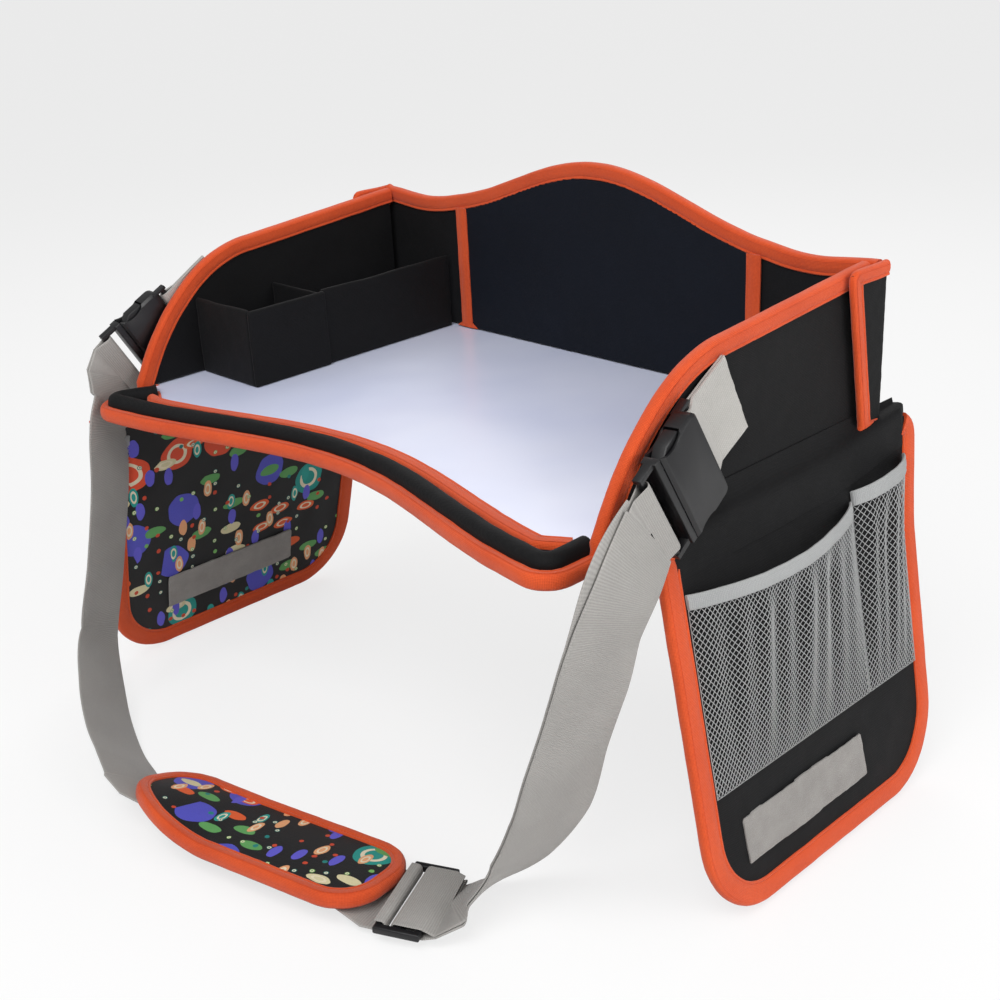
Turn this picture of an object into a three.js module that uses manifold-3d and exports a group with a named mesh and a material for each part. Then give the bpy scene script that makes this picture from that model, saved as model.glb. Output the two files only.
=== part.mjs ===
// Kids travel tray for a car seat: a stiff lap base with fabric walls, an organiser, two hanging
// side flaps with mesh pockets, and a waist strap with two side release buckles and a pad.
// Millimetres, +Z up, the child sits on the -Y side and +X is the child's right hand.
// The origin is the middle of the base's flat underside.

import * as THREE from 'three';
import { mergeVertices } from 'three/addons/utils/BufferGeometryUtils.js';
import Module from 'manifold-3d';

const wasm = await Module();
wasm.setup();

// Driving sizes of the tray
const tray_width = 400;
const tray_depth = 264;
const belly_depth = 36;
const front_corner_radius = 16;
const cover_thickness = 1.8;
const board_thickness = 4;
const film_thickness = 1.6;
const seam_gap = 0.3;
const overrun = 5;

// Walls, each a fabric sleeve round a stiffener board
const wall_thickness = 5;
const fabric_thickness = 1;
const wall_height = 91;
const back_arch_rise = 34;
const back_corner_dip = 3;
const wall_front_setback = 34;
const wall_nose_length = 98;
const wall_shoulder_height = 81;
const board_margin = 8;

// Bias binding folded over an edge
const binding_width = 9;
const binding_proud = 0.9;
const inner_binding_width = 8;

// Front bumper along the belly edge
const bumper_radius = 5.5;
const bumper_setback = 9.8;
const bumper_binding_reach = 4.6;
const bumper_binding_drop = 3;
const bumper_binding_rise = 5;
const bumper_binding_skin = 1.2;
const slit_width = 4;
const slit_front_length = 130;
const slit_centre_x = 82;

// Tablet pocket on the back wall
const pocket_half_width = 123;
const pocket_tape_width = 10;
const pocket_skin = 1;

// Organiser on the left wall
const organiser_width = 60;
const organiser_height = 50;
const organiser_front_y = -50;
const organiser_divider_y = 12;
const organiser_skin = 2.2;
const organiser_lip_drop = 3;

// Corner wings of the back wall that wrap the side walls
const wing_top_length = 34;
const wing_foot_length = 18;
const wing_thickness = 2.4;
const hook_patch_width = 8;
const hook_patch_height = 32;

// Side flaps
const flap_length = 202.5;
const flap_width = 222;
const flap_thickness = 4;
const flap_fabric = 0.9;
const flap_hem_rise = 1.5;
const flap_chamfer_drop = 4;
const flap_splay = THREE.MathUtils.degToRad(13);
const flap_bottom_radius = 46;
const flap_top_radius = 14;
const flap_taper = 7;
const left_flap_centre_y = -13;
const right_flap_centre_y = 49;
const left_flap_lean = -4;
const right_flap_lean = -16;
const flap_binding_width = 12;

// Mesh pockets on the flaps
const pocket_hem_drop = 33;
const pocket_hem_sag = 5;
const pocket_net_share = 0.6617;
const pocket_hem_width = 8;
const hem_thickness = 1.2;
const pocket_bulge = 13;
const net_thickness = 0.9;
const net_strand = 1.3;
const net_columns = 10;
const net_rows = 7;
const rear_net_columns = 4;
const rear_pocket_width = 50;
const rear_hem_drop = 28;
const rear_pocket_bulge = 9;
const pocket_side_margin = 1;

// Hook and loop strips on the flaps
const strip_length = 110;
const strip_width = 26;
const strip_thickness = 1.4;
const left_strip_share = 0.72;
const right_strip_share = 0.75;
const left_strip_centre_y = -23;
const right_strip_centre_y = 15;

// Strap webbing
const webbing_width = 50;
const webbing_thickness = 1.4;
const ply_gap = 0.4;
const sewn_end = 30;

// Side release buckles
const buckle_width = 57;
const buckle_thickness = 12;
const buckle_shell = 1.6;
const socket_length = 32;
const plug_bar = 4;
const plug_slot = 6.7;
const plug_rail = 2.8;
const tongue_half = 6;
const tongue_length = 21.3;
const arm_length = 18.7;
const arm_width = 6;
const arm_inset = 3.4;
const arm_pad_width = 3;
const arm_pad_length = 10;
const window_length = 19;
const buckle_tilt = THREE.MathUtils.degToRad(30);
const buckle_lean = THREE.MathUtils.degToRad(5);
const buckle_y = -70;
const buckle_z = 20;
const left_buckle_shift_y = -26;
const buckle_standoff = 2.6;
const tab_bar_radius = 1.7;
const tab_thickness = 1.2;
const tab_width = 46;
const tab_upper_length = 34;
const tab_lower_length = 22;

// Strap adjuster and strap pad
const adjuster_length = 26;
const adjuster_width = 58;
const adjuster_thickness = 4.4;
const adjuster_rail = 3.6;
const adjuster_clear = 5;
const adjuster_turn = THREE.MathUtils.degToRad(25);
const pad_length = 178;
const pad_width = 64;
const pad_thickness = 12;
const pad_end_radius = 25;
const pad_crown = 3.2;
const pad_binding_width = 7;
const pad_skin = 1.2;
const pad_slot_height = 2.8;
const pad_slot_width = 54;
const pad_ground_gap = 1.6;
const pad_turn = THREE.MathUtils.degToRad(12.6);

// Colours
const black = 0x17171a;
const navy = 0x141a24;
const orange = 0xf2571f;
const pale = 0xd5dbf2;
const grey = 0x9b9892;
const silver = 0xa9a7a4;
const plastic = 0x222226;

const group = new THREE.Group();

function material(color, roughness, metalness = 0) {
  return new THREE.MeshStandardMaterial({ color, roughness, metalness });
}

function addPiece(parent, name, geometry, color, roughness) {
  const mesh = new THREE.Mesh(geometry, material(color, roughness));
  mesh.name = name;
  parent.add(mesh);
  return mesh;
}

// A closed solid of a three.js geometry, for cutting and joining
function solidOf(geometry) {
  const bare = geometry.clone();
  for (const key of Object.keys(bare.attributes)) {
    if (key !== 'position') bare.deleteAttribute(key);
  }
  const welded = mergeVertices(bare, 1e-5);
  const index = welded.index;
  return new wasm.Manifold(new wasm.Mesh({
    numProp: 3,
    vertProperties: new Float32Array(welded.attributes.position.array),
    triVerts: new Uint32Array(index.array),
  }));
}

function geometryOf(solid) {
  const mesh = solid.getMesh();
  const geometry = new THREE.BufferGeometry();
  geometry.setAttribute('position', new THREE.BufferAttribute(new Float32Array(mesh.vertProperties), 3));
  geometry.setIndex(new THREE.BufferAttribute(new Uint32Array(mesh.triVerts), 1));
  return geometry;
}

function cut(geometry, ...tools) {
  return geometryOf(tools.reduce((rest, tool) => rest.subtract(solidOf(tool)), solidOf(geometry)));
}

function join(...pieces) {
  return geometryOf(pieces.map(solidOf).reduce((all, piece) => all.add(piece)));
}

// Outlines are lists of Vector2; a prism rises from zero along its local Z
function prism(outline, height, holes = []) {
  const shape = new THREE.Shape(outline);
  for (const hole of holes) shape.holes.push(new THREE.Path(hole));
  return new THREE.ExtrudeGeometry(shape, { depth: height, bevelEnabled: false });
}

function box(x0, x1, y0, y1, z0, z1) {
  const geometry = new THREE.BoxGeometry(x1 - x0, y1 - y0, z1 - z0);
  return geometry.translate((x0 + x1) / 2, (y0 + y1) / 2, (z0 + z1) / 2);
}

// A prism drawn in (y, z) that runs along X, and one drawn in (x, z) that runs from back_y forwards
const side_axes = new THREE.Matrix4().makeBasis(
  new THREE.Vector3(0, 1, 0), new THREE.Vector3(0, 0, 1), new THREE.Vector3(1, 0, 0));
const back_axes = new THREE.Matrix4().makeBasis(
  new THREE.Vector3(1, 0, 0), new THREE.Vector3(0, 0, 1), new THREE.Vector3(0, -1, 0));

function sidePrism(outline, from_x, thickness) {
  return prism(outline, thickness).applyMatrix4(side_axes).translate(from_x, 0, 0);
}

function backPrism(outline, back_y, thickness) {
  return prism(outline, thickness).applyMatrix4(back_axes).translate(0, back_y, 0);
}

// Unit normals of a polyline, to the left of its run, with the stretch that a mitre needs
function mitres(points, closed = false) {
  const count = points.length;
  return points.map((point, i) => {
    const before = points[closed ? (i + count - 1) % count : Math.max(i - 1, 0)];
    const after = points[closed ? (i + 1) % count : Math.min(i + 1, count - 1)];
    const into = new THREE.Vector2().subVectors(point, before).normalize();
    const out = new THREE.Vector2().subVectors(after, point).normalize();
    if (into.lengthSq() === 0) into.copy(out);
    if (out.lengthSq() === 0) out.copy(into);
    const run = new THREE.Vector2().addVectors(into, out).normalize();
    const stretch = 1 / Math.max(run.dot(into), 0.5);
    return new THREE.Vector2(-run.y * stretch, run.x * stretch);
  });
}

function offset(points, distance, closed = false) {
  const normals = mitres(points, closed);
  return points.map((point, i) => point.clone().addScaledVector(normals[i], distance));
}

// A solid through rings of points, each ring of the same count, with flat ends unless it closes
function loft(rings, closed = false) {
  const sides = rings[0].length;
  const vertices = rings.flat().flatMap((point) => [point.x, point.y, point.z]);
  const faces = [];
  const last = closed ? rings.length : rings.length - 1;
  for (let i = 0; i < last; i += 1) {
    for (let j = 0; j < sides; j += 1) {
      const a = i * sides + j;
      const b = i * sides + (j + 1) % sides;
      const c = ((i + 1) % rings.length) * sides + (j + 1) % sides;
      const d = ((i + 1) % rings.length) * sides + j;
      faces.push(a, b, c, a, c, d);
    }
  }
  if (!closed) {
    for (const end of [0, rings.length - 1]) {
      const triangles = flatTriangles(rings[end]);
      for (const [a, b, c] of triangles) {
        const base = end * sides;
        faces.push(...(end === 0 ? [base + a, base + c, base + b] : [base + a, base + b, base + c]));
      }
    }
  }
  const geometry = new THREE.BufferGeometry();
  geometry.setAttribute('position', new THREE.Float32BufferAttribute(vertices, 3));
  geometry.setIndex(faces);
  return outward(geometry);
}

// Triangles of one flat ring, in the ring's own order
function flatTriangles(ring) {
  const normal = new THREE.Vector3();
  ring.forEach((point, i) => {
    const next = ring[(i + 1) % ring.length];
    normal.x += (point.y - next.y) * (point.z + next.z);
    normal.y += (point.z - next.z) * (point.x + next.x);
    normal.z += (point.x - next.x) * (point.y + next.y);
  });
  const turn = new THREE.Quaternion().setFromUnitVectors(normal.normalize(), new THREE.Vector3(0, 0, 1));
  const flat = ring.map((point) => {
    const turned = point.clone().applyQuaternion(turn);
    return new THREE.Vector2(turned.x, turned.y);
  });
  return THREE.ShapeUtils.triangulateShape(flat, []);
}

// Turns a closed geometry inside out if its faces point in
function outward(geometry) {
  const position = geometry.attributes.position;
  const index = geometry.index;
  const [a, b, c] = [new THREE.Vector3(), new THREE.Vector3(), new THREE.Vector3()];
  let volume = 0;
  for (let i = 0; i < index.count; i += 3) {
    a.fromBufferAttribute(position, index.getX(i));
    b.fromBufferAttribute(position, index.getX(i + 1));
    c.fromBufferAttribute(position, index.getX(i + 2));
    volume += a.dot(b.cross(c));
  }
  if (volume < 0) {
    for (let i = 0; i < index.count; i += 3) {
      const first = index.getX(i);
      index.setX(i, index.getX(i + 1));
      index.setX(i + 1, first);
    }
  }
  return geometry;
}

// A section of [out, side] pairs swept along a flat polyline, for bindings and rolls.
// place(point, side) turns a flat point and a height beside the plane into a place in the model.
function sweepFlat(points, section, place, closed = false) {
  const normals = mitres(points, closed);
  return loft(points.map((point, i) => section.map(([out, side]) => place(
    point.clone().addScaledVector(normals[i], out), side))), closed);
}

const onFloor = (point, side) => new THREE.Vector3(point.x, point.y, side);
const onSide = (point, side) => new THREE.Vector3(side, point.x, point.y);
const onBack = (point, side) => new THREE.Vector3(point.x, side, point.y);

function arc(centre_x, centre_y, radius, from, to, steps) {
  return Array.from({ length: steps + 1 }, (_, i) => {
    const angle = from + (to - from) * i / steps;
    return new THREE.Vector2(centre_x + radius * Math.cos(angle), centre_y + radius * Math.sin(angle));
  });
}

// Places that follow from the driving sizes
const half_width = tray_width / 2;
const back_y = tray_depth / 2;
const front_y = -back_y;
const board_floor = cover_thickness + seam_gap;
const film_floor = board_floor + board_thickness + seam_gap;
const film_top = film_floor + film_thickness;
const wall_foot = film_top + seam_gap;
const wall_front = front_y + wall_front_setback;
const binding_skin = seam_gap + binding_proud;
const wall_inner = half_width - wall_thickness;
const back_inner = back_y - wall_thickness;
const tape_front = back_inner - pocket_skin - 2 * seam_gap - binding_proud;
const wall_back = tape_front - fabric_thickness;
const wall_top = wall_foot + wall_height;

function bellyCurve(x) {
  return front_y + belly_depth * (1 + Math.cos(Math.PI * x / half_width)) / 2;
}

// Places along X from left to right, evenly spread
function spread(from, to, steps) {
  return Array.from({ length: steps + 1 }, (_, i) => from + (to - from) * i / steps);
}

function bellyPoints(reach, steps, inset = 0) {
  return spread(-reach, reach, steps).map((x) => new THREE.Vector2(x, bellyCurve(x) + inset));
}

// The front edge of the base from the left side, round the belly, to the right side
function frontEdge(side_y) {
  const r = front_corner_radius;
  const left = arc(-half_width + r, front_y + r, r, Math.PI, 1.5 * Math.PI, 4);
  const right = arc(half_width - r, front_y + r, r, 1.5 * Math.PI, 2 * Math.PI, 4);
  const belly = bellyPoints(half_width - 2 * r, 16);
  return [new THREE.Vector2(-half_width, side_y), ...left, ...belly, ...right,
    new THREE.Vector2(half_width, side_y)];
}

// A U of tape round an edge that lies between near and far, open towards the piece.
// inward is 1 when the piece lies on the positive side of the edge.
function bindingSection(width, near, far, inward = -1) {
  return [
    [inward * width, near - binding_skin], [-inward * binding_skin, near - binding_skin],
    [-inward * binding_skin, far + binding_skin], [inward * width, far + binding_skin],
    [inward * width, far + seam_gap], [-inward * seam_gap, far + seam_gap],
    [-inward * seam_gap, near - seam_gap], [inward * width, near - seam_gap],
  ];
}

// Lap base
const seam_reach = bumper_binding_skin + seam_gap + binding_skin;
const skirt_drop = bumper_binding_drop + binding_skin + seam_gap;
const film_inset = bumper_setback + bumper_radius + slit_width + binding_skin;
const roll_end_y = wall_front - 2 * wall_thickness + 2 * binding_skin;

function makeBase() {
  const side_seam_front = wall_front - wall_thickness / 2;
  const edge = frontEdge(side_seam_front);
  const outline = [...edge, new THREE.Vector2(half_width, back_y), new THREE.Vector2(-half_width, back_y)];
  let cover = prism(outline, cover_thickness);
  const skirt = (side) => {
    const near = side * (half_width - cover_thickness);
    const far = side * (half_width + seam_reach);
    return box(Math.min(near, far), Math.max(near, far), wall_front, back_y, -skirt_drop, cover_thickness);
  };
  cover = join(cover, skirt(-1), skirt(1));
  // The slit between the bumper roll and the writing surface
  const slit_points = spread(slit_centre_x - slit_front_length / 2, slit_centre_x + slit_front_length / 2, 8)
    .map((x) => new THREE.Vector2(x, bellyCurve(x)));
  const slit_near = film_inset - binding_skin - slit_width;
  const slit = [...offset(slit_points, slit_near), ...offset(slit_points, slit_near + slit_width).reverse()];
  cover = cut(cover, prism(slit, cover_thickness + 2 * overrun).translate(0, 0, -overrun));
  addPiece(group, 'base_cover', cover, black, 0.85);

  const film_edge = [new THREE.Vector2(-half_width + 2 * wall_thickness, wall_front),
    ...bellyPoints(half_width - 2 * front_corner_radius, 16, film_inset),
    new THREE.Vector2(half_width - 2 * wall_thickness, wall_front)];
  const film_side = half_width - seam_gap;
  const nose = wall_front + wall_thickness;
  const corners = [[film_side, nose], [film_side, back_y - seam_gap], [-film_side, back_y - seam_gap],
    [-film_side, nose]].map(([x, y]) => new THREE.Vector2(x, y));
  addPiece(group, 'writing_film', prism([...film_edge, ...corners], film_thickness)
    .translate(0, 0, film_floor), pale, 0.25);

  const board_edge = offset(film_edge, inner_binding_width + seam_gap);
  addPiece(group, 'base_board', prism([...board_edge, ...corners], board_thickness)
    .translate(0, 0, board_floor), black, 0.6);

  const lip = inner_binding_width;
  const inner_section = [
    [-binding_skin, board_floor], [lip, board_floor], [lip, film_floor - seam_gap],
    [-seam_gap, film_floor - seam_gap], [-seam_gap, film_top + seam_gap], [lip, film_top + seam_gap],
    [lip, film_top + binding_skin], [-binding_skin, film_top + binding_skin]];
  addPiece(group, 'inner_binding', sweepFlat(film_edge, inner_section, onFloor), orange, 0.8);

  const roll_edge = offset(frontEdge(roll_end_y), bumper_setback);
  const roll_section = arc(0, board_floor + bumper_radius, bumper_radius, 0, 2 * Math.PI, 10).slice(0, -1)
    .map((point) => [point.x, point.y]);
  addPiece(group, 'bumper_roll', sweepFlat(roll_edge, roll_section, onFloor), black, 0.75);

  const reach = bumper_binding_reach;
  const outer = -bumper_binding_skin - seam_gap;
  const band = [[outer, -bumper_binding_drop], [reach, -bumper_binding_drop], [reach, -seam_gap],
    [-seam_gap, -seam_gap], [-seam_gap, board_floor], [reach, board_floor], [reach, bumper_binding_rise],
    [outer, bumper_binding_rise]];
  addPiece(group, 'bumper_binding', sweepFlat(frontEdge(wall_front - seam_gap), band, onFloor), orange, 0.8);
}

// Side walls. The edge runs from the foot of the nose up and back to the rear corner, as (y, z).
const nose_power = 1.6;

function sideWallEdge() {
  const nose = spread(0, Math.PI / 2, 9).map((angle) => new THREE.Vector2(
    wall_front + wall_nose_length * (1 - Math.cos(angle)),
    wall_foot + wall_shoulder_height * Math.sin(angle) ** nose_power));
  return [...nose, new THREE.Vector2(wall_back, wall_top)];
}

function closedDown(edge, foot) {
  const above = edge.filter((point) => point.y > foot + seam_gap);
  return [new THREE.Vector2(edge[0].x, foot), ...above, new THREE.Vector2(edge[edge.length - 1].x, foot)];
}

// The same edge drawn in by a margin on its top and at both ends
function drawnIn(edge, margin) {
  const inner = offset(edge, -margin);
  inner[inner.length - 1].x -= margin;
  return inner;
}

const sleeve_gap = fabric_thickness + seam_gap;

// Cover, board and binding of a side wall, drawn for the right hand side
function sideWallPieces() {
  const edge = sideWallEdge();
  const pocket = drawnIn(edge, board_margin);
  const board = drawnIn(edge, board_margin + 3 * seam_gap);
  const cover = cut(sidePrism(closedDown(edge, wall_foot), wall_inner, wall_thickness),
    sidePrism(closedDown(pocket, wall_foot - overrun), wall_inner + fabric_thickness,
      wall_thickness - 2 * fabric_thickness));
  const stiffener = sidePrism(closedDown(board, wall_foot), wall_inner + sleeve_gap,
    wall_thickness - 2 * sleeve_gap);
  // The binding stands upright on the base before it follows the nose
  const bound = [binding_skin, binding_width / 2].map((rise) => new THREE.Vector2(edge[0].x, wall_foot + rise));
  bound.push(...edge.slice(2));
  const binding = sweepFlat(bound, bindingSection(binding_width, wall_inner, half_width), onSide);
  return { cover, stiffener, binding };
}

// A copy of a geometry on the other side of the YZ plane
function mirrored(geometry) {
  const bare = geometry.clone();
  for (const key of Object.keys(bare.attributes)) {
    if (key !== 'position') bare.deleteAttribute(key);
  }
  return outward(mergeVertices(bare, 1e-5).scale(-1, 1, 1));
}

function onItsSide(geometry, side) {
  return side > 0 ? geometry : mirrored(geometry);
}

function makeSideWalls() {
  const { cover, stiffener, binding } = sideWallPieces();
  for (const [name, side] of [['left', -1], ['right', 1]]) {
    addPiece(group, `${name}_wall_cover`, onItsSide(cover, side), black, 0.9);
    addPiece(group, `${name}_wall_board`, onItsSide(stiffener, side), black, 0.6);
    addPiece(group, `${name}_wall_binding`, onItsSide(binding, side), orange, 0.8);
  }
}

// Back wall, with its arch, the tablet pocket and two tapes. The edge is drawn as (x, z).
const back_half = half_width + 2 * binding_skin;
const arch_half = 1.2 * pocket_half_width;

function backWallTop(x) {
  const reach = Math.abs(x);
  const arch = reach < arch_half ? Math.cos(Math.PI * reach / (2 * arch_half)) ** 2 : 0;
  const outside = Math.max(reach - pocket_half_width, 0) / (back_half - pocket_half_width);
  return wall_top + back_arch_rise * arch - back_corner_dip * Math.sin(Math.PI * outside) ** 2;
}

function backWallEdge(half) {
  return spread(-half, half, 26).map((x) => new THREE.Vector2(x, backWallTop(x)));
}

function makeBackWall() {
  const edge = backWallEdge(back_half);
  const inner = (margin) => backWallEdge(back_half - margin)
    .map((point) => new THREE.Vector2(point.x, point.y - margin));
  const cover = cut(backPrism(closedDown(edge, wall_foot), back_y, wall_thickness),
    backPrism(closedDown(inner(board_margin), wall_foot - overrun), back_y - fabric_thickness,
      wall_thickness - 2 * fabric_thickness));
  addPiece(group, 'back_wall_cover', cover, black, 0.9);
  addPiece(group, 'back_wall_board', backPrism(closedDown(inner(board_margin + 3 * seam_gap), wall_foot),
    back_y - sleeve_gap, wall_thickness - 2 * sleeve_gap), black, 0.6);
  addPiece(group, 'back_wall_binding',
    sweepFlat(edge, bindingSection(binding_width, back_inner, back_y), onBack), orange, 0.8);

  const pocket_edge = backWallEdge(pocket_half_width)
    .map((point) => new THREE.Vector2(point.x, point.y - 1.2 * binding_width));
  addPiece(group, 'tablet_pocket', backPrism(closedDown(pocket_edge, wall_foot + seam_gap),
    back_inner - seam_gap, pocket_skin), navy, 0.7);

  for (const [name, side] of [['left', -1], ['right', 1]]) {
    const centre = side * pocket_half_width;
    const foot = wall_foot + seam_gap;
    const head = backWallTop(pocket_half_width + pocket_tape_width) - 1.2 * binding_width;
    const outer = box(centre - pocket_tape_width / 2, centre + pocket_tape_width / 2, tape_front,
      back_inner - seam_gap, foot, head);
    const seat = [centre + side * seam_gap, centre - side * pocket_tape_width];
    const slot = box(Math.min(...seat), Math.max(...seat), back_inner - pocket_skin - 2 * seam_gap,
      back_inner + overrun, foot - overrun, head + overrun);
    addPiece(group, `${name}_pocket_tape`, cut(outer, slot), orange, 0.8);
  }
}

// Corner wings, drawn for the right hand side as (y, z)
const wing_inner = back_half + 2 * seam_gap + binding_skin;
const wing_foot = wall_foot + seam_gap;

function makeWings() {
  const edge = [[back_y - wing_foot_length, wing_foot], [back_y - wing_top_length, wall_top],
    [back_y, wall_top]].map(([y, z]) => new THREE.Vector2(y, z));
  const panel = sidePrism(closedDown(edge, wing_foot), wing_inner, wing_thickness);
  const binding = sweepFlat(edge, bindingSection(0.8 * binding_width, wing_inner, wing_inner + wing_thickness),
    onSide);
  const patch_front = wall_back - hook_patch_width - seam_gap;
  const patch_foot = wall_top - binding_width - binding_skin - hook_patch_height;
  const patch = box(half_width + seam_gap, wing_inner - seam_gap, patch_front,
    patch_front + hook_patch_width, patch_foot, patch_foot + hook_patch_height);
  for (const [name, side] of [['left', -1], ['right', 1]]) {
    addPiece(group, `${name}_wing_panel`, onItsSide(panel, side), black, 0.9);
    addPiece(group, `${name}_wing_binding`, onItsSide(binding, side), orange, 0.8);
    addPiece(group, `${name}_wing_hook_patch`, onItsSide(patch, side), grey, 0.95);
  }
}

// Organiser on the left wall: an end panel, a divider and a face panel with a jog at the divider
function makeOrganiser() {
  const wall_face = -wall_inner + seam_gap;
  const face = -wall_inner + organiser_width;
  const jog = organiser_skin;
  const foot = wall_foot;
  const head = foot + organiser_height;
  const skin = organiser_skin;
  addPiece(group, 'organiser_end_panel', box(wall_face, face - skin - seam_gap, organiser_front_y,
    organiser_front_y + skin, foot, head), black, 0.9);
  addPiece(group, 'organiser_divider', box(wall_face, face - skin - seam_gap - jog, organiser_divider_y,
    organiser_divider_y + skin, foot, head - organiser_lip_drop), black, 0.9);
  const route = [[face, organiser_front_y], [face, organiser_divider_y - skin],
    [face - jog, organiser_divider_y + skin], [face - jog, wall_back]]
    .map(([x, y]) => new THREE.Vector2(x, y));
  const section = [[0, foot], [0, head], [skin, head], [skin, foot]];
  addPiece(group, 'organiser_face_panel', sweepFlat(route, section, onFloor), black, 0.9);
}

// Side flaps, drawn flat: X out of the outer face, Y along the crease, Z up with the axis at zero
const crease_x = half_width + seam_reach + seam_gap;
const crease_z = -skirt_drop - binding_skin - 2 * seam_gap;
const flap_foot = flap_hem_rise - flap_length;

// Half width and shift of a flap at a height
function flapPlace(flap, y_share, z) {
  const depth = (flap_hem_rise - z) / flap_length;
  return flap.centre_y + y_share * (flap_width / 2 - flap_taper * depth) + flap.lean * depth;
}

function flapEdge(flap, margin = 0) {
  const half = flap_width / 2;
  const top = flap_top_radius;
  const low = flap_bottom_radius - margin;
  const points = [
    ...arc(-half + margin + top, flap_hem_rise - top, top, Math.PI / 2, Math.PI, 3),
    ...arc(-half + flap_bottom_radius, flap_foot + flap_bottom_radius, low, Math.PI, 1.5 * Math.PI, 6),
    ...arc(half - flap_bottom_radius, flap_foot + flap_bottom_radius, low, 1.5 * Math.PI, 2 * Math.PI, 6),
    ...arc(half - margin - top, flap_hem_rise - top, top, 0, Math.PI / 2, 3)];
  return points.map((point) => new THREE.Vector2(flapPlace(flap, point.x / half, point.y), point.y));
}

function stretchedUp(edge) {
  const first = edge[0];
  const last = edge[edge.length - 1];
  return [...edge, new THREE.Vector2(last.x, last.y + overrun), new THREE.Vector2(first.x, first.y + overrun)];
}

// How far a pocket's net stands off the flap at shares of its width and height
function netRise(pocket, across, down) {
  const along = Math.sin(Math.PI * Math.min(Math.max(across, 0), 1)) ** 0.7;
  return flap_thickness + seam_gap + pocket.bulge * along * Math.max(1 - down, 0) ** 0.8;
}

function netPoint(flap, pocket, across, down, out) {
  const z = flap_hem_rise - pocket.drop - down * (pocket_net_share * flap_length - pocket.drop);
  const sag = pocket.sag * Math.sin(Math.PI * across) * (1 - down);
  const share = pocket.from + (pocket.to - pocket.from) * across;
  return new THREE.Vector3(netRise(pocket, across, down) + out, flapPlace(flap, share, z), z - sag);
}

// A flat net of diamond gaps, a quarter of a cell at a time so that each face keeps to its own strand
function netRings(columns, cell_x, cell_y) {
  const half_x = cell_x / 2;
  const half_y = cell_y / 2;
  const strand = [[half_x, 0], [half_x, net_strand], [net_strand, half_y], [0, half_y]];
  const rings = [];
  for (let i = 0; i < columns; i += 1) {
    for (let j = 0; j < net_rows; j += 1) {
      for (const [right, down] of [[0, 0], [1, 0], [0, 1], [1, 1]]) {
        const inside = i + right > 0 && i + right < columns && j + down > 0 && j + down < net_rows;
        const quarter = inside ? [[half_x - net_strand, 0], ...strand, [0, half_y - net_strand]] : [[0, 0], ...strand];
        const ring = quarter.map(([x, y]) => [(i + right) * cell_x + (right ? -x : x),
          (j + down) * cell_y + (down ? -y : y)]);
        rings.push(right === down ? ring : ring.reverse());
      }
    }
  }
  return rings;
}

// The flat net, given its thickness and bent to the pocket's bulge
function netGeometry(flap, pocket) {
  const width = (pocket.to - pocket.from) * flap_width / 2;
  const height = pocket_net_share * flap_length - pocket.drop;
  const known = new Map();
  const places = [];
  const rings = netRings(pocket.columns, width / pocket.columns, height / net_rows)
    .map((ring) => ring.map(([x, y]) => {
      const key = `${x.toFixed(3)} ${y.toFixed(3)}`;
      if (!known.has(key)) {
        known.set(key, places.length);
        places.push([x, y]);
      }
      return known.get(key);
    }));
  const edges = new Set(rings.flatMap((ring) => ring.map((a, k) => `${a} ${ring[(k + 1) % ring.length]}`)));
  const top = places.length;
  const faces = [];
  for (const ring of rings) {
    for (let k = 1; k < ring.length - 1; k += 1) {
      faces.push(ring[0], ring[k + 1], ring[k], top + ring[0], top + ring[k], top + ring[k + 1]);
    }
    ring.forEach((a, k) => {
      const b = ring[(k + 1) % ring.length];
      if (!edges.has(`${b} ${a}`)) faces.push(a, b, top + b, a, top + b, top + a);
    });
  }
  const vertices = [0, net_thickness].flatMap((out) => places.flatMap(([x, y]) => netPoint(
    flap, pocket, x / width, y / height, out).toArray()));
  const net = new THREE.BufferGeometry();
  net.setAttribute('position', new THREE.Float32BufferAttribute(vertices, 3));
  net.setIndex(faces);
  return outward(net);
}

function hemGeometry(flap, pocket) {
  const steps = 2 * pocket.columns;
  return loft(spread(0, 1, steps).map((across) => {
    const low = netPoint(flap, pocket, across, 0, 0);
    const z = low.z + seam_gap;
    return [[0, 0], [hem_thickness, 0], [hem_thickness, pocket_hem_width], [0, pocket_hem_width]]
      .map(([out, up]) => new THREE.Vector3(low.x + out, low.y, z + up));
  }));
}

// A prism drawn in (x, z), centred on the XZ plane
function crossPrism(outline, depth) {
  const points = outline.map(([x, z]) => new THREE.Vector2(x, z));
  return prism(points, 2 * depth).applyMatrix4(back_axes).translate(0, depth, 0);
}

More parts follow.
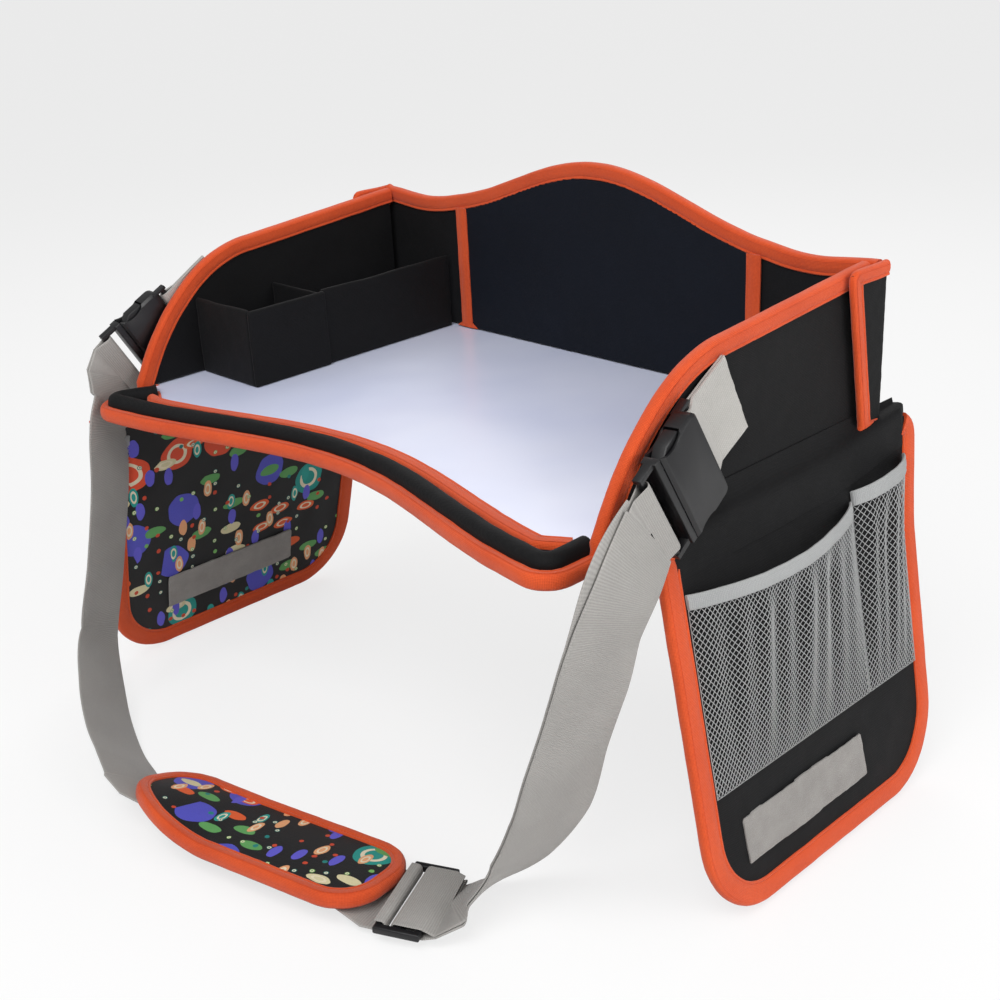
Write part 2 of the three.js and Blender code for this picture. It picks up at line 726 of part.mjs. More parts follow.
function makeFlap(name, side, flap) {
  const holder = new THREE.Group();
  holder.position.set(side * crease_x, 0, crease_z);
  holder.rotation.y = -side * flap_splay;
  group.add(holder);
  const add = (piece, geometry, color, roughness) => addPiece(
    holder, `${name}_${piece}`, onItsSide(geometry, side), color, roughness);

  const edge = flapEdge(flap);
  const hollow = sidePrism(stretchedUp(flapEdge(flap, flap_binding_width)), flap_fabric,
    flap_thickness - 2 * flap_fabric);
  // The sleeve thins to its seam at the crease, so that the flap can swing up beside the skirt
  const thinned = crossPrism([[flap_thickness + overrun, -flap_chamfer_drop],
    [flap_thickness, -flap_chamfer_drop], [fabric_thickness, flap_hem_rise],
    [fabric_thickness, flap_hem_rise + overrun], [flap_thickness + overrun, flap_hem_rise + overrun]], flap_width);
  add('flap_panel', cut(sidePrism(edge, 0, flap_thickness), hollow, thinned.translate(0, flap.centre_y, 0)),
    black, 0.9);
  const board = sidePrism(flapEdge(flap, flap_binding_width + seam_gap), flap_fabric + seam_gap,
    flap_thickness - 2 * (flap_fabric + seam_gap));
  const above = box(-overrun, flap_thickness + overrun, flap.centre_y - flap_width, flap.centre_y + flap_width,
    -flap_chamfer_drop - seam_gap, flap_hem_rise + overrun);
  add('flap_board', cut(board, above), black, 0.6);
  const bound = edge.filter((point) => point.y < 0);
  add('flap_binding', sweepFlat(bound, bindingSection(flap_binding_width, 0, flap_thickness, 1), onSide),
    orange, 0.8);

  const bound_share = 1 - 2 * (flap_binding_width + pocket_side_margin) / flap_width;
  const step_share = bound_share - 2 * rear_pocket_width / flap_width;
  const seam_share = 2 * seam_gap / flap_width;
  const main = { from: -bound_share, to: step_share - seam_share, drop: pocket_hem_drop,
    bulge: pocket_bulge, columns: net_columns, sag: pocket_hem_sag };
  const rear = { from: step_share + seam_share, to: bound_share, drop: rear_hem_drop,
    bulge: rear_pocket_bulge, columns: rear_net_columns, sag: 0 };
  add('mesh_pocket', netGeometry(flap, main), silver, 0.9);
  add('pocket_hem', hemGeometry(flap, main), grey, 0.9);
  add('rear_mesh_pocket', netGeometry(flap, rear), silver, 0.9);
  add('rear_pocket_hem', hemGeometry(flap, rear), grey, 0.9);

  const strip_x = flap.strip_inside ? -seam_gap - strip_thickness : flap_thickness + seam_gap;
  const strip_z = flap_hem_rise - flap.strip_share * flap_length;
  add('flap_strip', box(strip_x, strip_x + strip_thickness, flap.strip_y - strip_length / 2,
    flap.strip_y + strip_length / 2, strip_z - strip_width, strip_z), grey, 0.95);
}

// Side release buckles, drawn flat: X across the webbing, Y the way the plug pulls out, Z outwards,
// with the plug's webbing bar at the origin
const buckle_half = buckle_width / 2;
const buckle_rise = buckle_thickness / 2;
const buckle_x = half_width + buckle_standoff + buckle_rise;
const crossbar_front = -plug_bar / 2 - plug_slot;
const crossbar_back = crossbar_front - plug_bar;
const mouth = crossbar_back - seam_gap;
const socket_back = mouth - socket_length;
const cavity_rise = buckle_rise - buckle_shell;
const cavity_half = buckle_half - buckle_shell;
const tab_skin = tab_thickness + 2 * seam_gap;
const tab_bar_y = socket_back - tab_bar_radius - tab_skin;
const tab_bar_z = -buckle_rise + tab_bar_radius + 2 * seam_gap;
const rod_sides = 12;

// A prism about its middle plane with its edges bevelled
function bevelled(outline, height, bevel) {
  return new THREE.ExtrudeGeometry(new THREE.Shape(outline), {
    depth: height - 2 * bevel, bevelThickness: bevel, bevelSize: bevel, bevelOffset: -bevel, bevelSegments: 1,
  }).translate(0, 0, bevel - height / 2);
}

function rod(radius, half, y, z) {
  return new THREE.CylinderGeometry(radius, radius, 2 * half, rod_sides).rotateZ(Math.PI / 2).translate(0, y, z);
}

// A box on one side of the middle, between two distances from it
function sideBox(side, from, to, y0, y1, z0, z1) {
  return box(Math.min(side * from, side * to), Math.max(side * from, side * to), y0, y1, z0, z1);
}

function socketGeometry() {
  const corner = 3 * buckle_shell;
  const plan = [new THREE.Vector2(buckle_half, mouth), new THREE.Vector2(-buckle_half, mouth),
    ...arc(-buckle_half + corner, socket_back + corner, corner, Math.PI, 1.5 * Math.PI, 4),
    ...arc(buckle_half - corner, socket_back + corner, corner, 1.5 * Math.PI, 2 * Math.PI, 4)];
  const shell = bevelled(plan, buckle_thickness, buckle_shell);
  const cavity = box(-cavity_half, cavity_half, socket_back + buckle_shell, mouth + overrun,
    -cavity_rise, cavity_rise);
  const windows = box(-buckle_half - overrun, buckle_half + overrun, mouth - window_length, mouth + overrun,
    -cavity_rise, cavity_rise);
  // The thumb scoops cut into both faces beside the windows
  const scoops = [-1, 1].map((side) => new THREE.CylinderGeometry(window_length / 2, window_length / 2,
    2 * buckle_thickness, 2 * rod_sides).rotateX(Math.PI / 2).scale(0.5, 1, 1)
    .translate(side * (buckle_half + buckle_shell), mouth - window_length / 2, 0));
  const ears = [-1, 1].map((side) => sideBox(side, buckle_half - plug_rail, buckle_half - buckle_shell / 2,
    tab_bar_y - 1.3 * tab_bar_radius, socket_back + corner, -buckle_rise, tab_bar_z + 1.3 * tab_bar_radius));
  return join(cut(shell, cavity, windows, ...scoops), ...ears,
    rod(tab_bar_radius, buckle_half - plug_rail / 2, tab_bar_y, tab_bar_z));
}

function plugGeometry() {
  const rail_rise = 0.6 * plug_bar;
  const rails = [-1, 1].map((side) => sideBox(side, buckle_half - plug_rail, buckle_half,
    crossbar_back, plug_bar / 2, -rail_rise, rail_rise));
  const corners = [[buckle_half, crossbar_front], [-buckle_half, crossbar_front],
    [-buckle_half, crossbar_back], [buckle_half, crossbar_back]].map(([x, y]) => new THREE.Vector2(x, y));
  const crossbar = bevelled(corners, 2 * cavity_rise, seam_gap);
  const tongue = box(-tongue_half, tongue_half, crossbar_back - tongue_length, crossbar_front,
    -rail_rise, rail_rise);
  return join(crossbar, tongue, ...rails, rod(plug_bar / 2, buckle_half - plug_rail / 2, 0, 0));
}

const arm_x = buckle_half - arm_inset - arm_width / 2;
const arm_y = mouth - arm_width / 2;

// One spring arm with its round root and its thumb pad, on the positive side
function armGeometry() {
  const half = arm_width / 2;
  const inner = arm_x - half;
  const outer = arm_x + half;
  const pad = buckle_half - seam_gap;
  const pad_front = arm_y - half - arm_pad_width / 2;
  const pad_back = pad_front - arm_pad_length;
  const tip = arm_y - arm_length;
  const outline = [
    ...arc(arm_x, arm_y, half, 0, Math.PI, 6), new THREE.Vector2(inner, tip + half),
    new THREE.Vector2(inner + half / 2, tip), new THREE.Vector2(outer - half / 2, tip),
    new THREE.Vector2(outer, pad_back - arm_pad_width), new THREE.Vector2(pad, pad_back),
    new THREE.Vector2(pad, pad_front)];
  return bevelled(outline, 2 * (cavity_rise - 2 * seam_gap), seam_gap);
}

// A closed band of webbing along a route of places, each with the direction of its width
function band(route, width, thickness, closed = false) {
  const count = route.length;
  return loft(route.map(({ point, across }, i) => {
    const before = route[closed ? (i + count - 1) % count : Math.max(i - 1, 0)].point;
    const after = route[closed ? (i + 1) % count : Math.min(i + 1, count - 1)].point;
    const run = new THREE.Vector3().subVectors(after, before).normalize();
    const wide = across.clone().addScaledVector(run, -across.dot(run)).normalize();
    const thick = new THREE.Vector3().crossVectors(wide, run).normalize();
    return [[-1, -1], [1, -1], [1, 1], [-1, 1]].map(([u, v]) => point.clone()
      .addScaledVector(wide, u * width / 2).addScaledVector(thick, v * thickness / 2));
  }), closed);
}

// The sewn tab: webbing folded round the socket's rear bar, its two plies cut slanted at the far end
function tabGeometry(side) {
  const low = -buckle_rise - buckle_standoff + binding_skin + seam_gap + tab_thickness / 2;
  const high = low + tab_thickness + seam_gap;
  const radius = tab_bar_radius + seam_gap + tab_thickness / 2;
  const far = tab_bar_y - tab_upper_length - overrun;
  const bend = tab_bar_y - 2 * radius;
  const wrap = arc(tab_bar_y, tab_bar_z, radius, -Math.PI / 2, Math.PI / 2, 6).map((p) => [p.x, p.y]);
  const line = [[far, low], [bend, low], ...wrap, [bend - radius, high], [far, high]];
  const across = new THREE.Vector3(1, 0, 0);
  const route = line.map(([y, z]) => ({ point: new THREE.Vector3(0, y, z), across }));
  const loop = band(route, tab_width, tab_thickness);
  const start = tab_bar_y + 2 * radius;
  const half = side * tab_width / 2;
  const outline = [[half, start], [-half, start], [-half, tab_bar_y - tab_lower_length],
    [half, tab_bar_y - tab_upper_length]].map(([x, y]) => new THREE.Vector2(x, y));
  const trim = prism(outline, 2 * buckle_thickness).translate(0, 0, -buckle_thickness);
  return geometryOf(solidOf(loop).intersect(solidOf(trim)));
}

function bucklePlace(side, y, lean) {
  const pull = new THREE.Vector3(side * Math.sin(lean), -Math.cos(buckle_tilt) * Math.cos(lean),
    -Math.sin(buckle_tilt) * Math.cos(lean));
  const out = new THREE.Vector3(side * Math.cos(lean), Math.cos(buckle_tilt) * Math.sin(lean),
    Math.sin(buckle_tilt) * Math.sin(lean));
  const across = new THREE.Vector3().crossVectors(pull, out);
  const origin = new THREE.Vector3(side * (buckle_x - tab_bar_y * Math.sin(lean)), y, buckle_z);
  const matrix = new THREE.Matrix4().makeBasis(across, pull, out).setPosition(origin);
  return { origin, across, pull, out, matrix };
}

// The tab lies flat on the wall, turned about its bar from a buckle that leans out
function tabPlace(side, y, place) {
  const flat = bucklePlace(side, y, 0);
  const shift = (along, name) => new THREE.Vector3().subVectors(place[name], flat[name]).multiplyScalar(along);
  const origin = place.origin.clone().add(shift(tab_bar_y, 'pull')).add(shift(tab_bar_z, 'out'));
  return flat.matrix.setPosition(origin);
}

function makeBuckle(name, side, y) {
  const place = bucklePlace(side, y, buckle_lean);
  const holder = new THREE.Group();
  holder.applyMatrix4(place.matrix);
  const wall = new THREE.Group();
  wall.applyMatrix4(tabPlace(side, y, place));
  group.add(holder, wall);
  addPiece(holder, `${name}_buckle_socket`, socketGeometry(), plastic, 0.4);
  addPiece(holder, `${name}_buckle_plug`, plugGeometry(), plastic, 0.4);
  addPiece(holder, `${name}_plug_lower_arm`, onItsSide(armGeometry(), -side), plastic, 0.4);
  addPiece(holder, `${name}_plug_upper_arm`, onItsSide(armGeometry(), side), plastic, 0.4);
  addPiece(wall, `${name}_buckle_tab`, tabGeometry(side), grey, 0.95);
  return place;
}

// The strap lies near the floor that the flaps stand on, from one buckle through the pad and the
// adjuster to the other
const floor_drop = -crease_z + (flap_length - flap_hem_rise) * Math.cos(flap_splay) + binding_skin;
const pad_along = new THREE.Vector3(Math.cos(pad_turn), Math.sin(pad_turn), 0);
const pad_across = new THREE.Vector3(-Math.sin(pad_turn), Math.cos(pad_turn), 0);
const pad_centre = strapPlace([0.085, -1.417, 0]).setZ(pad_ground_gap - floor_drop);
const adjuster_along = new THREE.Vector3(Math.cos(adjuster_turn), Math.sin(adjuster_turn), 0);
const adjuster_across = new THREE.Vector3(-Math.sin(adjuster_turn), Math.cos(adjuster_turn), 0);
const slot_middle = pad_skin + pad_slot_height / 2;
const loop_rise = adjuster_thickness / 2 + seam_gap + webbing_thickness / 2;
const adjuster_centre = pad_centre.clone().addScaledVector(pad_along, pad_length / 2)
  .addScaledVector(adjuster_along, adjuster_length / 2 + adjuster_clear)
  .setZ(pad_centre.z + slot_middle + loop_rise);

// A place on the strap's route as shares of the half width, the half depth and the drop to the floor
function strapPlace([x_share, y_share, z_share]) {
  return new THREE.Vector3(x_share * half_width, y_share * back_y, z_share * floor_drop);
}

// Route places with the direction of the webbing's width at each. The right route's first shares
// run from the adjuster to the buckle
const right_route_shares = [
  [[1.055, -0.74, -0.02], [0, 0.83, -0.55]],
  [[0.989, -0.83, -0.15], [0, 0.9, -0.42]],
  [[0.883, -0.856, -0.305], [0, 0.84, -0.55]],
  [[0.737, -0.894, -0.491], [0, 0.88, -0.48]],
  [[0.538, -0.879, -0.683], [0, 0.86, -0.5]],
  [[0.3, -0.92, -0.845], [-0.15, 0.87, -0.45]],
  [[0.086, -1.06, -0.936], [-0.4, 0.86, -0.25]],
];
const left_route_shares = [
  [[-1.1, -1.0, -0.01], [0, 0.7, -0.7]],
  [[-1.075, -1.13, -0.1], [0, 0.85, -0.5]],
  [[-1.04, -1.15, -0.22], [0, 1, 0]],
  [[-1.04, -1.09, -0.37], [0, 1, 0]],
  [[-1.06, -1.045, -0.54], [-0.05, 1, 0]],
  [[-1.05, -1.11, -0.71], [-0.1, 0.99, 0]],
  [[-0.975, -1.2, -0.8], [-0.15, 0.98, 0]],
  [[-0.8, -1.35, -0.89], [-0.2, 0.98, 0]],
  [[-0.575, -1.475, -0.94], [-0.217, 0.976, 0]],
  [[-0.43, -1.57, -0.973], [-0.217, 0.976, 0]],
];

// A smooth route through places, with its width directions blended
function smoothRoute(places, steps) {
  const curve = new THREE.CatmullRomCurve3(places.map(({ point }) => point), false, 'centripetal');
  const spans = places.length - 1;
  return spread(0, 1, steps).map((share) => {
    const at = Math.min(Math.floor(share * spans), spans - 1);
    const across = places[at].across.clone().lerp(places[at + 1].across, share * spans - at);
    return { point: curve.getPoint(share), across };
  });
}

// The places of a route, whose first shares span the tray's half width unless an end is given
function routePlaces(table, from_x = 0, to_x = half_width) {
  return table.map(([shares, across]) => ({
    point: strapPlace(shares).setX(from_x + shares[0] * (to_x - from_x)), across: new THREE.Vector3(...across) }));
}

// One ply beside a route, towards the side that its width and run turn to
function plyOf(route, distance) {
  return route.map(({ point, across }, i) => {
    const before = route[Math.max(i - 1, 0)].point;
    const after = route[Math.min(i + 1, route.length - 1)].point;
    const run = new THREE.Vector3().subVectors(after, before);
    const away = new THREE.Vector3().crossVectors(across, run).normalize();
    return { point: point.clone().addScaledVector(away, distance), across };
  });
}

const bar_loop = plug_bar / 2 + seam_gap + webbing_thickness / 2;
const ply_half = (webbing_thickness + ply_gap) / 2;
const loop_turn_share = 0.6;

// Webbing round a bar: places in the bar's own frame, from its outer side round the back to its inner
function barLoop(place, radius, from, to, across) {
  return arc(0, 0, radius, from, to, 6).map((p) => ({
    point: new THREE.Vector3(0, p.x, p.y).applyMatrix4(place.matrix), across }));
}

function makeStraps(right, left) {
  const adjuster = { matrix: new THREE.Matrix4().makeBasis(adjuster_across, adjuster_along,
    new THREE.Vector3().crossVectors(adjuster_across, adjuster_along)).setPosition(adjuster_centre) };
  const down = adjuster.matrix.clone();
  const onAdjuster = (along, up) => new THREE.Vector3(0, along, -up).applyMatrix4(down);
  const rail_end = adjuster_length / 2;

  // Right strap: two plies from the adjuster's middle bar to the plug's bar and back
  const facing = right.across.clone().negate();
  const near = { point: right.origin.clone().addScaledVector(right.pull, 3 * bar_loop), across: facing };
  const exit = { point: onAdjuster(rail_end + 2 * loop_rise, 0), across: adjuster_across };
  const places = routePlaces(right_route_shares, exit.point.x, right.origin.x);
  const route = smoothRoute([near, ...places, exit], 36);
  const outer = plyOf(route, -ply_half).reverse();
  const inner = plyOf(route, ply_half);
  const turned = (edge, from, to) => arc(0, 0, loop_rise, from, to, 6)
    .map((p) => [edge + loop_turn_share * p.x, p.y]);
  const over = [[rail_end, loop_rise]];
  const round = turned(-plug_bar / 2, Math.PI / 2, 1.5 * Math.PI);
  const under = [[rail_end, -loop_rise]];
  const atAdjuster = [...over, ...round, ...under].map(([along, up]) => ({
    point: onAdjuster(along, up), across: adjuster_across }));
  const loop = barLoop(right, bar_loop, Math.PI / 2, 1.5 * Math.PI, facing);
  addPiece(group, 'right_strap', band([...outer, ...loop, ...inner, ...atAdjuster],
    webbing_width, webbing_thickness, true), grey, 0.8);

  // Left strap: sewn round the left plug's bar, through the pad's slot and round the adjuster's first rail
  const left_near = { point: left.origin.clone().addScaledVector(left.pull, 3 * bar_loop), across: left.across };
  const slot = (along) => ({ point: pad_centre.clone().addScaledVector(pad_along, along)
    .setZ(pad_centre.z + slot_middle), across: pad_across });
  const half_pad = pad_length / 2;
  const middle = smoothRoute([left_near, ...routePlaces(left_route_shares)], 36);
  const main = plyOf(middle, -ply_half);
  const sewn = plyOf(middle.filter(({ point }) => point.distanceTo(left.origin) < sewn_end), ply_half).reverse();
  const left_loop = barLoop(left, bar_loop, Math.PI / 2, 1.5 * Math.PI, left.across);
  const rail_loop = turned(-rail_end + adjuster_rail, -Math.PI / 2, Math.PI / 2);
  const last = [[-rail_end - seam_gap, loop_rise]];
  const end = [...rail_loop, ...last].map(([along, up]) => ({
    point: onAdjuster(along, up), across: adjuster_across }));
  addPiece(group, 'left_strap', band([...sewn, ...left_loop, ...main, slot(-half_pad), slot(0),
    slot(half_pad), ...end], webbing_width, webbing_thickness), grey, 0.8);

  // Three bar adjuster, drawn flat
  const half_wide = adjuster_width / 2;
  const frame_plan = [[half_wide, rail_end], [-half_wide, rail_end], [-half_wide, -rail_end],
    [half_wide, -rail_end]].map(([x, y]) => new THREE.Vector2(x, y));
  const opening = half_wide - adjuster_rail;
  const slot_far = rail_end - adjuster_rail;
  const slots = [-1, 1].map((way) => box(-opening, opening, Math.min(way * slot_far, way * plug_bar / 2),
    Math.max(way * slot_far, way * plug_bar / 2), -adjuster_thickness, adjuster_thickness));
  const frame = cut(bevelled(frame_plan, adjuster_thickness, 2 * seam_gap), ...slots);
  addPiece(group, 'strap_adjuster', frame.applyMatrix4(adjuster.matrix), plastic, 0.4);
}

// Strap pad: a cushion with its crown inside the binding and a slot for the webbing under it
function padHalfWidth(x) {
  const past = Math.max(Math.abs(x) - (pad_length / 2 - pad_end_radius), 0);
  return pad_width / 2 - pad_end_radius + Math.sqrt(Math.max(pad_end_radius ** 2 - past ** 2, 0));
}

function makePad() {
  const half = pad_length / 2;
  const round = spread(0, Math.PI / 2, 6).map((angle) => half - pad_end_radius * (1 - Math.sin(angle)));
  const stations = [...round.map((x) => -x).reverse(), -half / 3, half / 3, ...round];
  const edge_height = pad_thickness - pad_crown;
  const lip = pad_binding_width + 2 * seam_gap;
  const sides = spread(-1, 1, 8);
  const rings = stations.map((x) => {
    const wide = padHalfWidth(x);
    const crowned = Math.max(wide - lip, 0);
    const rise = pad_crown * Math.max(1 - (Math.abs(x) / (half - lip)) ** 4, 0);
    const top = sides.map((share) => new THREE.Vector3(x, -share * crowned,
      edge_height + rise * (1 - share ** 2)));
    return [new THREE.Vector3(x, -wide, 0), new THREE.Vector3(x, wide, 0),
      new THREE.Vector3(x, wide, edge_height), ...top, new THREE.Vector3(x, -wide, edge_height)];
  });
  const slot = box(-half - overrun, half + overrun, -pad_slot_width / 2, pad_slot_width / 2, pad_skin,
    pad_skin + pad_slot_height);
  const holder = new THREE.Group();
  holder.position.copy(pad_centre);
  holder.rotation.z = pad_turn;
  group.add(holder);
  addPiece(holder, 'strap_pad', cut(loft(rings), slot), black, 0.9);

  const rim = [...stations.map((x) => new THREE.Vector2(x, -padHalfWidth(x))),
    ...stations.map((x) => new THREE.Vector2(x, padHalfWidth(x))).reverse()];
  const foot = pad_skin + pad_slot_height + seam_gap;
  const section = [[pad_binding_width, edge_height + seam_gap], [pad_binding_width, edge_height + binding_skin],
    [-binding_skin, edge_height + binding_skin], [-binding_skin, foot], [-seam_gap, foot],
    [-seam_gap, edge_height + seam_gap]];
  addPiece(holder, 'strap_pad_binding', sweepFlat(rim, section, onFloor, true), orange, 0.8);
}

makeBase();
makeSideWalls();
makeBackWall();
makeWings();
makeOrganiser();
makeFlap('left', -1, { centre_y: left_flap_centre_y, lean: left_flap_lean, strip_y: left_strip_centre_y,
  strip_share: left_strip_share, strip_inside: true });
makeFlap('right', 1, { centre_y: right_flap_centre_y, lean: right_flap_lean, strip_y: right_strip_centre_y,
  strip_share: right_strip_share, strip_inside: false });
const right_buckle = makeBuckle('right', 1, buckle_y);
const left_buckle = makeBuckle('left', -1, buckle_y + left_buckle_shift_y);
makeStraps(right_buckle, left_buckle);
makePad();

export default group;
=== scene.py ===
# %% [markdown]
# # A kids' lap tray with folding walls, side pockets and a carrying strap
# The real tray is sewn from black polyester over plastic boards. Orange bias tape covers each raw
# edge, a clear film is the writing surface, and grey webbing with two buckles carries it.
# The solids that set every size here come from model.glb. Soft parts are made anew over
# them, and hard parts keep their shape with rounded edges and better finishes. Lengths are metres.

import math
import bpy
from mathutils import Matrix, Vector, noise


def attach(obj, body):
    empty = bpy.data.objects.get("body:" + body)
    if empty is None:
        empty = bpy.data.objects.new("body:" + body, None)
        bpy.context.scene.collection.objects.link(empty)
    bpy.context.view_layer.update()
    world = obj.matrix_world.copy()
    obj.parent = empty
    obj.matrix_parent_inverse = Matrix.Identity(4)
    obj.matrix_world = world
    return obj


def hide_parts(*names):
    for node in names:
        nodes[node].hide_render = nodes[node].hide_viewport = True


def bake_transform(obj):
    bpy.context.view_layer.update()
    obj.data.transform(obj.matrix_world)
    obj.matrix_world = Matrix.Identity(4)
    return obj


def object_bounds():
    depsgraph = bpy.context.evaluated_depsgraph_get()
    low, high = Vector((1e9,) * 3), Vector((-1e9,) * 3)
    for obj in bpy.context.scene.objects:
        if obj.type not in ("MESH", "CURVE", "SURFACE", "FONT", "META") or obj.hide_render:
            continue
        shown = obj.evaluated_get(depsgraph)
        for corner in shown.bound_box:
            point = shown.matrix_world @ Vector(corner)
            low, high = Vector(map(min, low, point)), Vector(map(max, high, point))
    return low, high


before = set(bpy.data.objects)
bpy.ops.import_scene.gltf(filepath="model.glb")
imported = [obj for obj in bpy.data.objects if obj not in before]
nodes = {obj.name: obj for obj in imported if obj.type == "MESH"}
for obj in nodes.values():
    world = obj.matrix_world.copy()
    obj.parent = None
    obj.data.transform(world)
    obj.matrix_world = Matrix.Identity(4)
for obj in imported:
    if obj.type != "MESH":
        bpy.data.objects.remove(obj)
cad_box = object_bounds()
mm = 0.001
bpy.ops.object.select_all(action="DESELECT")

# %% [markdown]
# ## Camera, floor and light
# The camera stands to the tray's right, in front and above, as the photographer did. Its place was
# worked out from corners whose sizes are known, and it is set as a matrix from its own three axes.
# A softbox overhead, a broad one on the camera's side and a pale world keep black cloth readable.

# %% Camera
camera_right = Vector((0.70037, 0.71187, -0.05218))
camera_down = Vector((0.24390, -0.30738, -0.91980))
camera_forward = Vector((-0.67082, 0.63147, -0.38890))
camera_data = bpy.data.cameras.new("camera")
camera_data.lens = 52.2
camera_data.sensor_width = 36.0
camera_data.shift_x = 0.006  # brings the tray to its place in the frame
camera = bpy.data.objects.new("camera", camera_data)
bpy.context.scene.collection.objects.link(camera)
camera_turn = Matrix((camera_right, -camera_down, -camera_forward)).transposed().to_4x4()
camera.matrix_world = Matrix.Translation((0.6123, -0.5510, 0.2958)) @ camera_turn
bpy.context.scene.camera = camera

# %% Lights and world
def softbox(name, place, target, width, height, watts):
    """A rectangular area light that looks at a target."""
    bpy.ops.object.light_add(type="AREA", location=place)
    lamp = bpy.context.object
    lamp.name = name
    lamp.data.shape = "RECTANGLE"
    lamp.data.size = width
    lamp.data.size_y = height
    lamp.data.energy = watts
    lamp.rotation_euler = (Vector(target) - Vector(place)).to_track_quat("-Z", "Y").to_euler()


middle = (0, -0.03, -0.03)
softbox("key_softbox", (0.35, -0.9, 1.25), middle, 1.1, 0.9, 17)
softbox("side_softbox", (1.35, 0.15, 0.45), middle, 0.9, 1.0, 9)
softbox("back_softbox", (-0.7, 0.95, 0.95), middle, 0.9, 0.7, 5)
world = bpy.data.worlds.new("studio")
bpy.context.scene.world = world
world.use_nodes = True
sky = world.node_tree.nodes["Background"]
sky.inputs["Color"].default_value = (1, 1, 1, 1)
seen = world.node_tree.nodes.new("ShaderNodeLightPath")
strength = world.node_tree.nodes.new("ShaderNodeMix")
strength.inputs[2].default_value = 0.42
strength.inputs[3].default_value = 1.0
world.node_tree.links.new(seen.outputs["Is Camera Ray"], strength.inputs[0])
world.node_tree.links.new(strength.outputs[0], sky.inputs["Strength"])
bpy.context.scene.view_settings.view_transform = "Standard"

# %% [markdown]
# ## Shader arithmetic
# A finish is a recipe of numbers that vary over the surface. A small class wraps a node socket, so
# that a recipe reads as plain sums in Python and each sum adds its own Math node.

# %% Sockets that can be added and multiplied
class Wire:
    """A shader socket whose sums and products add Math nodes."""

    def __init__(self, tree, socket):
        self.tree = tree
        self.socket = socket

    def math(self, operation, *others):
        node = self.tree.nodes.new("ShaderNodeMath")
        node.operation = operation
        for slot, value in zip(node.inputs, (self, *others)):
            connect(self.tree, slot, value)
        return Wire(self.tree, node.outputs[0])

    def __add__(self, other):
        return self.math("ADD", other)

    def __mul__(self, other):
        return self.math("MULTIPLY", other)

    def __sub__(self, other):
        return self.math("SUBTRACT", other)

    def __gt__(self, other):
        return self.math("GREATER_THAN", other)

    def __lt__(self, other):
        return self.math("LESS_THAN", other)

    def sine(self):
        return self.math("SINE")

    def size(self):
        return self.math("ABSOLUTE")

    __radd__ = __add__
    __rmul__ = __mul__


def connect(tree, slot, value):
    """Puts a wire, a number or a colour into a socket."""
    if isinstance(value, Wire):
        tree.links.new(value.socket, slot)
    else:
        slot.default_value = value


class Finish:
    """One material, with a method that adds any node and one that sets the surface."""

    def __init__(self, name):
        self.material = bpy.data.materials.new(name)
        self.material.use_nodes = True
        self.tree = self.material.node_tree
        self.shader = self.tree.nodes["Principled BSDF"]

    def node(self, kind, settings=(), values=(), out=0):
        """A node of a kind, with its settings first and then its sockets, by name or number."""
        node = self.tree.nodes.new("ShaderNode" + kind)
        for key, value in dict(settings).items():
            setattr(node, key, value)
        for key, value in dict(values).items():
            connect(self.tree, node.inputs[key], value)
        return Wire(self.tree, node.outputs[out])

    def place(self):
        return self.node("TexCoord", out="Object")

    def axes(self, vector):
        parts = self.node("SeparateXYZ", values={0: vector})
        others = parts.socket.node.outputs
        return [Wire(self.tree, others[i]) for i in range(3)]

    def noise(self, vector, scale, detail=2.0, rough=0.5):
        return self.node("TexNoise", values={"Vector": vector, "Scale": scale, "Detail": detail,
                                             "Roughness": rough})

    def blend(self, share, low, high):
        """Mixes two colours by a share."""
        return self.node("Mix", {"data_type": "RGBA"}, {0: share, 6: low, 7: high}, out=2)

    def surface(self, **values):
        """Sets the shader's sockets, whose names are written with _ for each space."""
        for key, value in values.items():
            connect(self.tree, self.shader.inputs[key.replace("_", " ")], value)
        return self

    def bump(self, height, distance):
        return self.surface(Normal=self.node("Bump", values={
            "Height": height, "Distance": distance, "Strength": 1.0}))


def colour(red, green, blue):
    """A colour as the screen shows it, from 0 to 255, made linear."""
    return tuple((c / 255) ** 2.2 for c in (red, green, blue)) + (1.0,)


def dress(piece, finish):
    """Gives a piece one finish in all its slots."""
    piece.data.materials.clear()
    piece.data.materials.append(finish.material)
    return piece

# %% [markdown]
# ## Finishes
# Polyester is a plain weave with a thread about every half millimetre, and it takes long, shallow
# wrinkles between seams. The weave is made from sines of the place, which suit a wall in any plane.
# Bias tape shows rows of small twill dots, so its pattern follows the tape through its own map.

# %% Woven polyester
def weave_height(finish, place, pitch):
    """Height of a plain weave from 0 to 1, whatever plane the cloth lies in."""
    turns = 2 * math.pi / pitch
    waves = [(axis * turns).sine() for axis in finish.axes(place)]
    return (waves[0] * waves[1] + waves[1] * waves[2] + waves[2] * waves[0]) * 0.33 + 0.5


def polyester(name, dark, light, wrinkle=1.6 * mm):
    finish = Finish(name)
    place = finish.place()
    weave = weave_height(finish, place, 0.9 * mm)
    folds = finish.noise(place, 22.0, 3.0, 0.55)
    grain = finish.noise(place, 900.0, 2.0)
    shade = (folds * 0.5 + grain * 0.35 + weave * 0.3) * 0.9
    finish.surface(Base_Color=finish.blend(shade, dark, light), Roughness=grain * 0.2 + 0.62,
                   Sheen_Weight=0.03, Sheen_Roughness=0.5, Specular_IOR_Level=0.2)
    lines = finish.noise(finish.node("Mapping", values={"Vector": place, "Scale": (1, 1, 0.45)}),
                         34.0, 2.0, 0.5)
    return finish.bump(folds * 0.55 + lines * 0.3 + weave * 0.05 + grain * 0.03, wrinkle)


